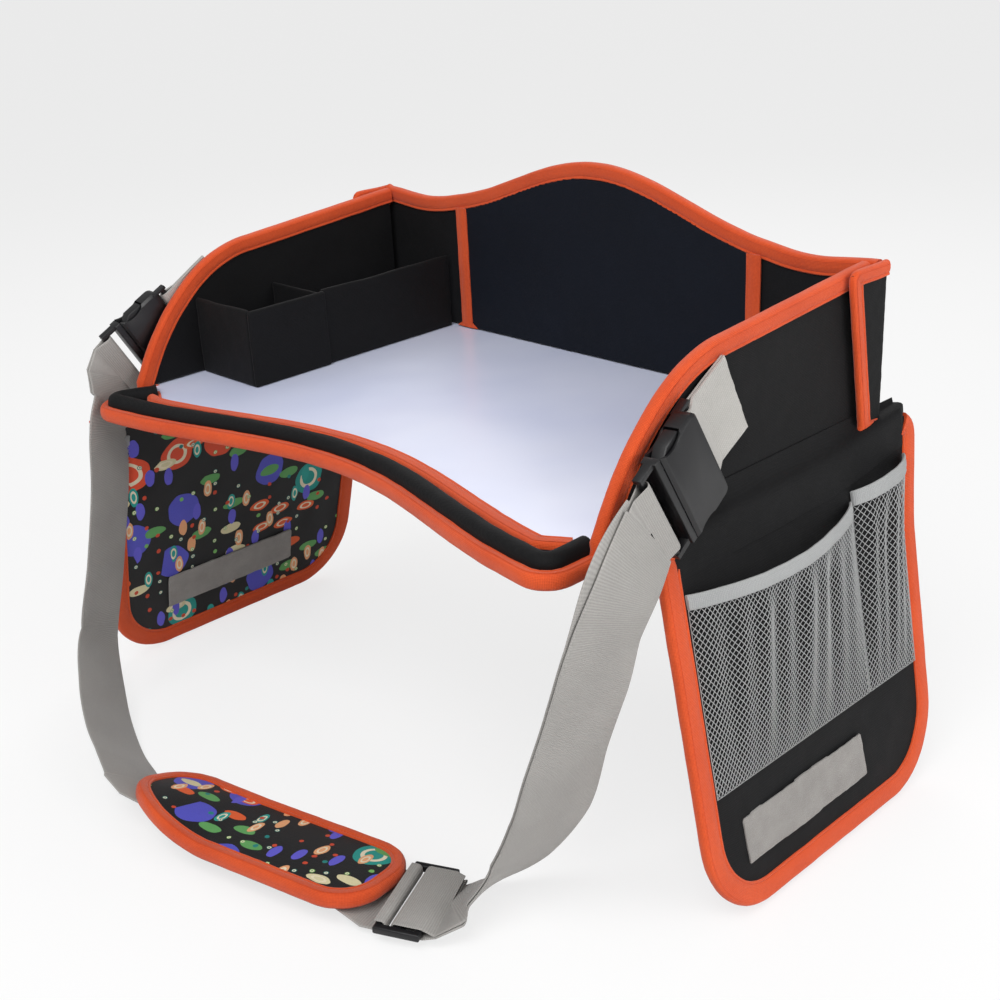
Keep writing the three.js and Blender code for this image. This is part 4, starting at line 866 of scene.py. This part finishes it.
def net(part, flap, pocket, plane, body):
    """A diamond net: a grid turned on its corners, bent to the pocket and made into strands."""
    cell = 3.0 * mm
    width = (pocket["to"] - pocket["from"]) * flap_width / 2
    height = net_foot - pocket["drop"]
    columns, rows = 2 * round(width / cell), 2 * round(height / (cell * 1.3))
    kept, place = [], {}
    for j in range(rows + 1):
        for i in range(j % 2, columns + 1, 2):
            place[(i, j)] = len(kept)
            out, y, z = net_place(flap, pocket, i / columns, 1 - j / rows)
            kept.append(plane @ Vector((y, z, out)))
    faces = []
    for i in range(columns + 1):
        for j in range(1 - i % 2, rows + 1, 2):
            ring = [place.get(c) for c in ((i + 1, j), (i, j + 1), (i - 1, j), (i, j - 1))]
            ring = [c for c in ring if c is not None]
            if len(ring) > 2:
                faces.append(tuple(ring))
    piece = new_mesh(part + "_pocket_net", kept, faces)
    bpy.context.view_layer.objects.active = piece
    strands = piece.modifiers.new("strands", "WIREFRAME")
    strands.thickness = 0.62 * mm
    strands.use_even_offset = False
    strands.use_boundary = True
    piece.select_set(True)
    bpy.ops.object.modifier_apply(modifier=strands.name)
    piece.select_set(False)
    for polygon in piece.data.polygons:
        polygon.use_smooth = True
    return on_body(dress(piece, net_yarn), body, "mesh", part + "_mesh_pocket")


def hem(part, flap, pocket, plane, body):
    """The satin tape over a pocket's mouth, 8 mm deep."""
    rings = []
    section = [(0, 0), (0.7, 0.1), (1.2, 1), (0.9, 1.8), (1.3, 3.2), (1.3, 5.0), (0.9, 6.4),
               (1.2, 7.2), (0.8, 8.1), (0.1, 8.2), (-0.6, 7.6), (-0.6, 0.6)]
    line = [net_place(flap, pocket, a, 0) for a in spread(0, 1, 40)]
    for out, y, z in line:
        rings.append([plane @ Vector((y, z + up * mm, out + off * mm)) for off, up in section])
    along = lengths([plane @ Vector((y, z, out)) for out, y, z in line])
    across = lengths([(off * mm, up * mm) for off, up in section])
    piece = dress(sweep(part + "_pocket_hem_tape", rings, across, along), hem_tape)
    return on_body(piece, body, "velour", part + "_pocket_hem")


def velour_strip(side, centre_y, centre_z, plane, beside):
    """A sewn strip of velour with a slightly uneven cut edge."""
    half_long, half_high = 55 * mm, 13 * mm
    corners = [(-half_long, -half_high), (half_long, -half_high), (half_long, half_high),
               (-half_long, half_high)]
    outline = []
    for y, z in evenly(corners, 3 * mm, closed=True):
        wave = noise.noise(Vector((y * 40, z * 40, 44))) * 0.4 * mm
        outline.append((centre_y + y + wave, centre_z + z + wave))
    piece = cloth_panel(side + "_flap_velour", outline, 1.5 * mm, plane, beside, voxel=0.9 * mm,
                        ripple=0.5 * mm, pucker=0.5 * mm, bound=1.5 * mm)
    on_body(dress(piece, velour), side + "_flap", "velour", side + "_flap_strip")


def smooth(value):
    value = min(max(value, 0), 1)
    return value * value * (3 - 2 * value)


def open_corner(piece):
    """Bends the left flap's upper front corner outwards, to let the strap pass inside it."""
    for vertex in piece.data.vertices:
        p = vertex.co
        share = smooth((-p.y - 78 * mm) / (32 * mm)) * smooth((p.z + 95 * mm) / (65 * mm))
        p.x -= 14 * mm * share
        p.z -= 5 * mm * share


def raise_rear(piece):
    """Draws the right flap's upper rear corner up and out, as its gathered sleeve holds it."""
    for vertex in piece.data.vertices:
        p = vertex.co
        share = smooth((p.y - 70 * mm) / (85 * mm)) * smooth((p.z + 62 * mm) / (52 * mm))
        share *= smooth((14 * mm - p.z) / (16 * mm))
        p.z += 13 * mm * share
        p.x += 3.5 * mm * share


def crease_sleeve(side, name, low_y, high_y):
    """The fold of cloth that joins a flap to the foot of its wall."""
    outer = [(200.5, 15), (201.3, 11), (202.6, 7), (204.2, 4.2), (206.6, 2.4), (208.4, -0.4),
             (209.3, -4), (209.4, -8.5), (209.7, -13.5), (210.4, -18), (210.9, -20.5)]
    section = outer + [(x - 0.9, z - 0.3) for x, z in reversed(outer)]
    rings = []
    stations = spread(low_y, high_y, 90)
    for y in stations:
        end = min(smooth((y - low_y) / (9 * mm)), smooth((high_y - y) / (9 * mm)))
        ring = []
        for x, z in section:
            soft = noise.noise(Vector((y * 30, z * 0.09, side * 3)))
            soft += 0.5 * noise.noise(Vector((y * 85, z * 0.2, 5)))
            swell = (x - 200) * (0.55 + 0.45 * end) + soft * 1.1 * min(1, (x - 200) / 5)
            ring.append(Vector((side * (200 + swell) * mm, y, z * mm)))
        rings.append(ring)
    piece = sweep(name + "_crease_sleeve", rings, lengths([(x * mm, z * mm) for x, z in section]),
                  lengths([(0, y) for y in stations]))
    dress(piece, black_cloth)
    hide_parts(name + "_flap_panel")
    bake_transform(piece)
    return piece


for side, name in ((1, "right"), (-1, "left")):
    flap, plane, body = flaps[side], flap_plane(side), name + "_flap"
    outline = evenly(flap_outline(flap), 5 * mm, closed=True)
    panel = cloth_panel(name + "_flap_cloth", outline, 3.9 * mm, plane, 0.05 * mm, voxel=2 * mm,
                        ripple=1.1 * mm, pucker=0.4 * mm, bound=8 * mm)
    on_body(panel, body, "black_polyester", name + "_flap_panel")
    panel.data.materials.append(print_cloth(name + "_flap_print", plane).material)
    out = (plane.to_3x3() @ Vector((0, 0, 1))).normalized()
    for polygon in panel.data.polygons:
        centre = plane.inverted() @ polygon.center
        if polygon.normal.dot(out) < -0.3 and centre.z < 2 * mm:
            polygon.material_index = 1
    bound_line = [(flap_y(flap, -1, z), z) for z in (-1 * mm, -8 * mm)]
    bound_line += [p for p in flap_outline(flap)[7:] if p[1] < 0]
    tape = bind(name + "_flap_tape", bound_line,
                tape_section(12 * mm, 1.2 * mm, 2.0 * mm, 1.0 * mm), plane, 2 * mm)
    on_body(tape, body, "orange_binding", name + "_flap_binding")
    bound_share = 1 - 2 * 13 * mm / flap_width
    step_share = bound_share - 2 * 50 * mm / flap_width
    main = {"from": -bound_share, "to": step_share - 0.005, "drop": 33 * mm, "sag": 5 * mm,
            "bulge": 13 * mm, "folds": [(3, 0.15, 1.8 * mm), (8, 0.4, 1.5 * mm)]}
    rear = {"from": step_share + 0.005, "to": bound_share, "drop": 28 * mm, "sag": 0.0,
            "bulge": 9 * mm, "folds": [(2, 0.6, 1.6 * mm), (5, 0.1, 1.1 * mm)]}
    pockets = []
    for part, pocket in ((name, main), (name + "_rear", rear)):
        pockets.append(net(part, flap, pocket, plane, body))
        pockets.append(hem(part, flap, pocket, plane, body))
    stiffener = solid_copy(name + "_flap_board", name + "_flap_stiffener")
    even_grid(stiffener, 1 * mm)
    stiffener.select_set(False)
    on_body(dress(stiffener, board), body, "board", name + "_flap_board")
    if side < 0:
        for piece in (panel, tape, stiffener):
            open_corner(piece)
        crease_sleeve(side, name, -84 * mm, 97 * mm)
        velour_strip(name, -23 * mm, hem_rise - 0.72 * flap_length - 13 * mm, plane, -1.8 * mm)
    else:
        sleeve = crease_sleeve(side, name, -60 * mm, 154 * mm)
        for piece in (panel, tape, stiffener, *pockets, sleeve):
            raise_rear(piece)
        velour_strip(name, 15 * mm, hem_rise - 0.75 * flap_length - 13 * mm, plane, 4.2 * mm)

# %% [markdown]
# ## Buckles, straps and shoulder pad
# A sewn tab holds each buckle's socket to the wall. The strap folds round the plug's bar, comes
# down in two plies, and meets the other strap at a three bar slide beside the pad. Webbing is flat
# and stiff across its width, so it is swept along its route and not simulated.

# %% Where the buckles are
def buckle_place(side, y, lean_degrees):
    """Axes of a buckle: across the webbing, the way the plug pulls out, and outwards."""
    tilt, lean = math.radians(30), math.radians(lean_degrees)
    along, away = math.cos(lean), math.sin(lean)
    pull = Vector((side * away, -math.cos(tilt) * along, -math.sin(tilt) * along))
    out = Vector((side * along, math.cos(tilt) * away, math.sin(tilt) * away))
    return {"origin": Vector((side * 212.83 * mm, y, 20 * mm)), "across": pull.cross(out),
            "pull": pull, "out": out}


buckles = {1: buckle_place(1, -70 * mm, 5), -1: buckle_place(-1, -96 * mm, 5)}


# %% Moulded pieces with rounded edges
def moulding(node, body):
    """A copy of a moulded solid whose edges are rounded, as a mould leaves them."""
    piece = solid_copy(node, node + "_moulding")
    bpy.ops.object.mode_set(mode="EDIT")
    bpy.ops.mesh.select_all(action="SELECT")
    bpy.ops.mesh.remove_doubles(threshold=0.00001)
    bpy.ops.mesh.dissolve_limited(angle_limit=math.radians(1))
    bpy.ops.object.mode_set(mode="OBJECT")
    rounding = piece.modifiers.new("rounding", "BEVEL")
    rounding.width = 0.5 * mm
    rounding.segments = 2
    rounding.limit_method = "ANGLE"
    rounding.angle_limit = math.radians(35)
    bpy.ops.object.modifier_apply(modifier=rounding.name)
    bpy.ops.object.shade_smooth_by_angle(angle=math.radians(40))
    piece.select_set(False)
    return on_body(dress(piece, plastic), body, "buckle_plastic", node)


for name, wall in (("right", "right_wall"), ("left", "tray")):
    moulding(name + "_buckle_socket", wall)
    moulding(name + "_buckle_plug", name + "_plug")
    for arm in ("lower_arm", "upper_arm"):
        moulding(f"{name}_plug_{arm}", f"{name}_{arm}")
moulding("strap_adjuster", "adjuster")


# %% Smooth routes and webbing
def smooth_route(places, steps):
    """A smooth line through (point, width direction) pairs."""
    found = []
    spans = len(places) - 1
    for share in spread(0, spans, steps):
        i = min(int(share), spans - 1)
        t = share - i
        a, b, c, d = (places[min(max(i + k, 0), spans)][0] for k in (-1, 0, 1, 2))
        point = 0.5 * (2 * b + (c - a) * t + (2 * a - 5 * b + 4 * c - d) * t * t
                       + (3 * b - a - 3 * c + d) * t ** 3)
        found.append((point, places[i][1].lerp(places[i + 1][1], t)))
    return found


def ply(route, distance):
    """A line of webbing beside a route."""
    found = []
    for i, (point, across) in enumerate(route):
        run = route[min(i + 1, len(route) - 1)][0] - route[max(i - 1, 0)][0]
        found.append((point + across.cross(run).normalized() * distance, across))
    return found


strap_width = 50 * mm


def web(name, route, width=strap_width, thick=1.4 * mm):
    """Webbing along a route, with rounded selvedges and a slight cup across its width."""
    flat = [(-1, 0), (-0.985, 0.75), (-0.95, 1), (-0.5, 0.95), (0, 0.9), (0.5, 0.95), (0.95, 1),
            (0.985, 0.75), (1, 0), (0.985, -0.75), (0.95, -1), (0.5, -1.05), (0, -1.1),
            (-0.5, -1.05), (-0.95, -1), (-0.985, -0.75)]
    along = lengths([p for p, _ in route])
    rings = []
    for i, (point, across) in enumerate(route):
        run = (route[min(i + 1, len(route) - 1)][0] - route[max(i - 1, 0)][0]).normalized()
        wide = (across - run * across.dot(run)).normalized()
        stand = wide.cross(run).normalized()
        rings.append([point + wide * (u * width / 2) + stand * (v * thick / 2) for u, v in flat])
    across = lengths([(u * width / 2, v * thick / 2) for u, v in flat])
    half = max(across) / 2
    across = [a if a < half else 2 * half - a for a in across]
    return dress(sweep(name, rings, across, along), grey_webbing)


def bar_loop(place, across):
    """The turn of webbing round a plug's bar."""
    pull, out = place["pull"] * bar_radius, place["out"] * bar_radius
    return [(place["origin"] + pull * math.cos(a) + out * math.sin(a), across)
            for a in spread(math.pi / 2, 1.5 * math.pi, 10)]


# %% Routes of both straps, from the buckles to the slide
floor_drop = 203.35 * mm
bar_radius = 3 * mm


def share_place(x, y, z):
    return Vector((x * half_width, y * back_y, z * floor_drop))


pad_half, pad_wide = 89 * mm, 32 * mm
pad_turn, slide_turn = math.radians(12.6), math.radians(25)
pad_along = Vector((math.cos(pad_turn), math.sin(pad_turn), 0))
pad_across = Vector((-math.sin(pad_turn), math.cos(pad_turn), 0))
slide_along = Vector((math.cos(slide_turn), math.sin(slide_turn), 0))
slide_across = Vector((-math.sin(slide_turn), math.cos(slide_turn), 0))
pad_centre = share_place(0.085, -1.417, 0)
pad_centre.z = 1.6 * mm - floor_drop
slot_middle = 2.6 * mm
loop_rise = 3.2 * mm
pad_plane = Matrix.Translation(pad_centre) @ Matrix.Rotation(pad_turn, 4, "Z")


def curl(point):
    """The pad's place, tilted up along its front edge, and more so towards the left strap."""
    x, y, z = point
    tilt = math.radians(9 + 13 * smooth((-x - 15 * mm) / (70 * mm)))
    y -= pad_wide
    return pad_plane @ Vector((x, pad_wide + y * math.cos(tilt) + z * math.sin(tilt),
                               z * math.cos(tilt) - y * math.sin(tilt)))


slide_centre = pad_centre + pad_along * pad_half + slide_along * 18 * mm
slide_centre.z = pad_centre.z + slot_middle + loop_rise


def on_slide(along, up):
    down = slide_across.cross(slide_along)
    return slide_centre + slide_along * along - down * up


# Shares of the way from the slide to the buckle, of the back and of the floor drop, then the
# direction of the strap's width
right_places = [(1.055, -0.74, -0.02, 0, 0.83, -0.55), (0.989, -0.83, -0.15, 0, 0.9, -0.42),
                (0.883, -0.856, -0.305, 0, 0.84, -0.55), (0.737, -0.894, -0.491, 0, 0.88, -0.48),
                (0.538, -0.879, -0.683, 0, 0.86, -0.5), (0.3, -0.92, -0.845, -0.15, 0.87, -0.45),
                (0.086, -1.06, -0.936, -0.4, 0.86, -0.25)]
right = buckles[1]
facing = -right["across"]
exit_place = on_slide(13 * mm + 2 * loop_rise, 0)
route = [(right["origin"] + right["pull"] * 3 * bar_radius, facing)]
for x, y, z, u, v, w in right_places:
    point = share_place(0, y, z)
    point.x = exit_place.x + x * (right["origin"].x - exit_place.x)
    route.append((point, Vector((u, v, w))))
route.append((exit_place, slide_across))
right_route = smooth_route(route, 120)
outer, inner = ply(right_route, -0.9 * mm), ply(right_route, 0.9 * mm)
turn = [(on_slide(-2 * mm + 0.6 * loop_rise * math.cos(a), loop_rise * math.sin(a)), slide_across)
        for a in spread(math.pi / 2, 1.5 * math.pi, 8)]
inner = [(p - a.normalized() * 6 * mm * math.exp(-((i - 14) / 9) ** 2), a)
         for i, (p, a) in enumerate(inner)]
line = [*outer[:7][::-1], *bar_loop(right, facing), *inner[:7]]
loop = web("right_strap_loop_webbing", line, width=46 * mm, thick=0.8 * mm)
on_body(loop, "right_plug", "webbing", "right_strap")
line = [*inner[2:], (on_slide(13 * mm, loop_rise), slide_across), *turn,
        (on_slide(13 * mm, -loop_rise), slide_across), *outer[2:][::-1]]
strap = web("right_strap_webbing", line)
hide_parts("right_strap")
start = right_route[2][0]
tuple(start + Vector((-12 * mm, -6 * mm, -90 * mm)))
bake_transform(strap)

left = buckles[-1]
# A point of the strap in millimetres, then the direction of its width
left_places = [(-210.5, -111, 0, -0.38, 0.78, -0.5), (-207, -121, -15.7, -0.53, 0.79, -0.31),
               (-204.5, -127.4, -51.7, -0.52, 0.83, -0.21),
               (-203, -140, -100.9, -0.52, 0.82, -0.25), (-199.5, -155.2, -148, -0.45, 0.7, -0.55),
               (-166.8, -175.7, -172, -0.1, 0.64, -0.76),
               (-131, -191.6, -182.5, 0, 0.67, -0.74), (-104, -199.4, -186.5, 0, 0.72, -0.69),
               (-84, -203.5, -190, -0.05, 0.82, -0.57)]
route = [(left["origin"] + left["pull"] * 3 * bar_radius, left["across"])]
route += [(Vector(numbers[:3]) * mm, Vector(numbers[3:])) for numbers in left_places]
left_route = smooth_route(route, 130)
main_ply, sewn_ply = ply(left_route, -0.9 * mm), ply(left_route, 0.9 * mm)
sewn_end = next(i for i, (p, _) in enumerate(left_route) if (p - left["origin"]).length > 30 * mm)
under_pad = []
for along in (-86, -70, -50, -30, 0, 30, 60):
    point = curl((along * mm, 0, slot_middle))
    under_pad.append((point, curl((along * mm, 1, slot_middle)) - point))
under_pad.append((pad_centre + pad_along * pad_half + Vector((0, 0, slot_middle)), pad_across))
rail_turn = [(on_slide(-9.4 * mm + 0.6 * loop_rise * math.cos(a), loop_rise * math.sin(a)),
              slide_across) for a in spread(-math.pi / 2, math.pi / 2, 8)]
line = [*sewn_ply[:sewn_end][::-1], *bar_loop(left, left["across"]), *main_ply, *under_pad,
        *rail_turn, (on_slide(-13.3 * mm, loop_rise), slide_across)]
strap = web("left_strap_webbing", line)
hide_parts("left_strap")
start = left_route[4][0]
tuple(start + Vector((4 * mm, -12 * mm, -70 * mm)))
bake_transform(strap)

# %% Sewn tabs that hold the sockets
def sewn_tab(side, name, body, y):
    """Two plies of webbing folded round the socket's rear bar and sewn to the wall."""
    flat = buckle_place(side, y, 0)
    place = buckles[side]
    bar_y, bar_z = -48.5 * mm, -3.7 * mm
    origin = place["origin"] + (place["pull"] - flat["pull"]) * bar_y
    origin += (place["out"] - flat["out"]) * bar_z
    low = -6.5 * mm
    high = low + 1.6 * mm
    radius = 2.6 * mm
    bend = bar_y - 2 * radius
    wrap = arc(bar_y, bar_z, radius, -math.pi / 2, math.pi / 2, 8)
    tail = bar_y - 44 * mm
    line = evenly([(tail, low), (bend, low), *wrap, (bend - radius, high), (tail, high)], 1.2 * mm)
    half = 23 * mm
    cross = [-1 + 2 * i / 20 for i in range(21)]
    points, faces = [], []
    for along, up in line:
        for u in cross:
            end = bar_y - (34 + side * 2 * u) * mm
            a = max(along, end + 0.35 * mm * noise.noise(Vector((u * 9, up * 900, 0))))
            lift = 0.25 * mm * noise.noise(Vector((u * 4, a * 80, up * 300)))
            points.append(origin + flat["across"] * (u * half) + flat["pull"] * a
                          + flat["out"] * (up + lift))
    width = len(cross)
    for i in range(len(line) - 1):
        for j in range(i * width, i * width + width - 1):
            faces.append((j, j + 1, j + 1 + width, j + width))
    piece = new_mesh(name, points, faces)
    layer = piece.data.uv_layers.new(name="tape")
    reach = lengths(line)
    for polygon in piece.data.polygons:
        for loop_index, vertex in zip(polygon.loop_indices, polygon.vertices):
            layer.data[loop_index].uv = (cross[vertex % width] * half, reach[vertex // width])
    solid = piece.modifiers.new("ply_thickness", "SOLIDIFY")
    solid.thickness = 1.2 * mm
    solid.offset = 0
    bpy.context.view_layer.objects.active = piece
    bpy.ops.object.modifier_apply(modifier=solid.name)
    face_out(piece, 60)
    return on_body(dress(piece, pale_webbing), body, "webbing", name.replace("_webbing", ""))


sewn_tab(1, "right_buckle_tab_webbing", "right_wall", -70 * mm)
sewn_tab(-1, "left_buckle_tab_webbing", "tray", -96 * mm)

# %% [markdown]
# ## Shoulder pad
# The pad is a cushion between a printed face and a plain back. It starts a little thin and swells
# in a cloth simulation, its rim held by the tape, so that the top crowns as stuffing makes it.

# %% Pad cushion
def pad_rim():
    """The pad's rim, whose front left corner is rounder where the strap twists away from it."""
    corners = [(1, 1, 25, 25), (-1, 1, 25, 25), (-1, -1, 48, 31), (1, -1, 25, 25)]
    found = []
    for k, (x, y, long, wide) in enumerate(corners):
        for a in spread(k * math.pi / 2, (k + 1) * math.pi / 2, 12):
            found.append((x * (pad_half - long * mm) + long * mm * math.cos(a),
                          y * (pad_wide - wide * mm) + wide * mm * math.sin(a)))
    return found


pad_outline = evenly(pad_rim(), 3 * mm, closed=True)
pad = cloth_panel("pad_cushion", pad_outline, 7.4 * mm, on_floor, 1.0 * mm, voxel=3.2 * mm,
                  ripple=0.3 * mm, pucker=0.3 * mm, swell=0.9 * mm)
held = pad.vertex_groups.new(name="held")
held.add([v.index for v in pad.data.vertices
          if edge_distance(v.co.xy, pad_outline) < 6 * mm or v.co.z < 4 * mm], 1.0, "REPLACE")
start_shape = [v.co.copy() for v in pad.data.vertices]
cloth = pad.modifiers.new("stuffing", "CLOTH")
cloth.settings.use_pressure = True
cloth.settings.uniform_pressure_force = 4
cloth.settings.effector_weights.gravity = 0
cloth.settings.vertex_group_mass = "held"
cloth.settings.tension_stiffness = 20
cloth.settings.bending_stiffness = 1.5
cloth.point_cache.frame_end = 20
for number in range(1, 21):
    bpy.context.scene.frame_set(number)
shape = pad.evaluated_get(bpy.context.evaluated_depsgraph_get()).data
swollen = [v.co.copy() for v in shape.vertices]
pad.modifiers.remove(cloth)
bpy.context.scene.frame_set(1)
for vertex, before, after in zip(pad.data.vertices, start_shape, swollen):
    move = after - before
    vertex.co = before + move * min(1, 3.2 * mm / max(move.length, 1e-9))
for vertex in pad.data.vertices:
    vertex.co = curl(vertex.co)
pad_print = print_cloth("pad_print", pad_plane, 0.9)
dress(pad, pad_print)
subdivide = pad.modifiers.new("rounder", "SUBSURF")
subdivide.levels = subdivide.render_levels = 1
bpy.ops.object.select_all(action="DESELECT")
bpy.context.view_layer.objects.active = pad
pad.select_set(True)
bpy.ops.object.modifier_apply(modifier=subdivide.name)
bpy.ops.object.shade_smooth()
pad.data.materials.append(black_cloth.material)
for polygon in pad.data.polygons:
    if polygon.normal.z < 0.2:
        polygon.material_index = 1
on_body(pad, "pad", "black_polyester", "strap_pad")
pad_tape = bind("pad_tape", pad_rim(), tape_section(7 * mm, 1.2 * mm, 3.6 * mm, 0.9 * mm),
                on_floor, 5.3 * mm, closed=True, step=2.4 * mm)
for vertex in pad_tape.data.vertices:
    vertex.co = curl(vertex.co)
on_body(pad_tape, "pad", "orange_binding", "strap_pad_binding")

# %% [markdown]
# ## Floor
# The tray stands on its flaps on a pale floor, which keeps a soft shadow under it.

# %% Floor
floor_finish = Finish("pale_floor")
floor_finish.surface(Base_Color=(0.88, 0.88, 0.88, 1), Roughness=0.9, Specular_IOR_Level=0.1)
glow = floor_finish.node("Emission", values={"Color": (1, 1, 1, 1), "Strength": 1.0})
seen = floor_finish.node("LightPath", out="Is Camera Ray")
paper = Wire(floor_finish.tree, floor_finish.shader.outputs[0])
mixed = floor_finish.node("MixShader", values={0: seen * 0.72, 1: paper, 2: glow})
output = floor_finish.tree.nodes["Material Output"]
floor_finish.tree.links.new(mixed.socket, output.inputs["Surface"])
bpy.ops.mesh.primitive_plane_add(size=40, location=(0, 0, cad_box[0][2] - 0.5 * mm))
floor = bpy.context.object
floor.name = "floor"
dress(floor, floor_finish)
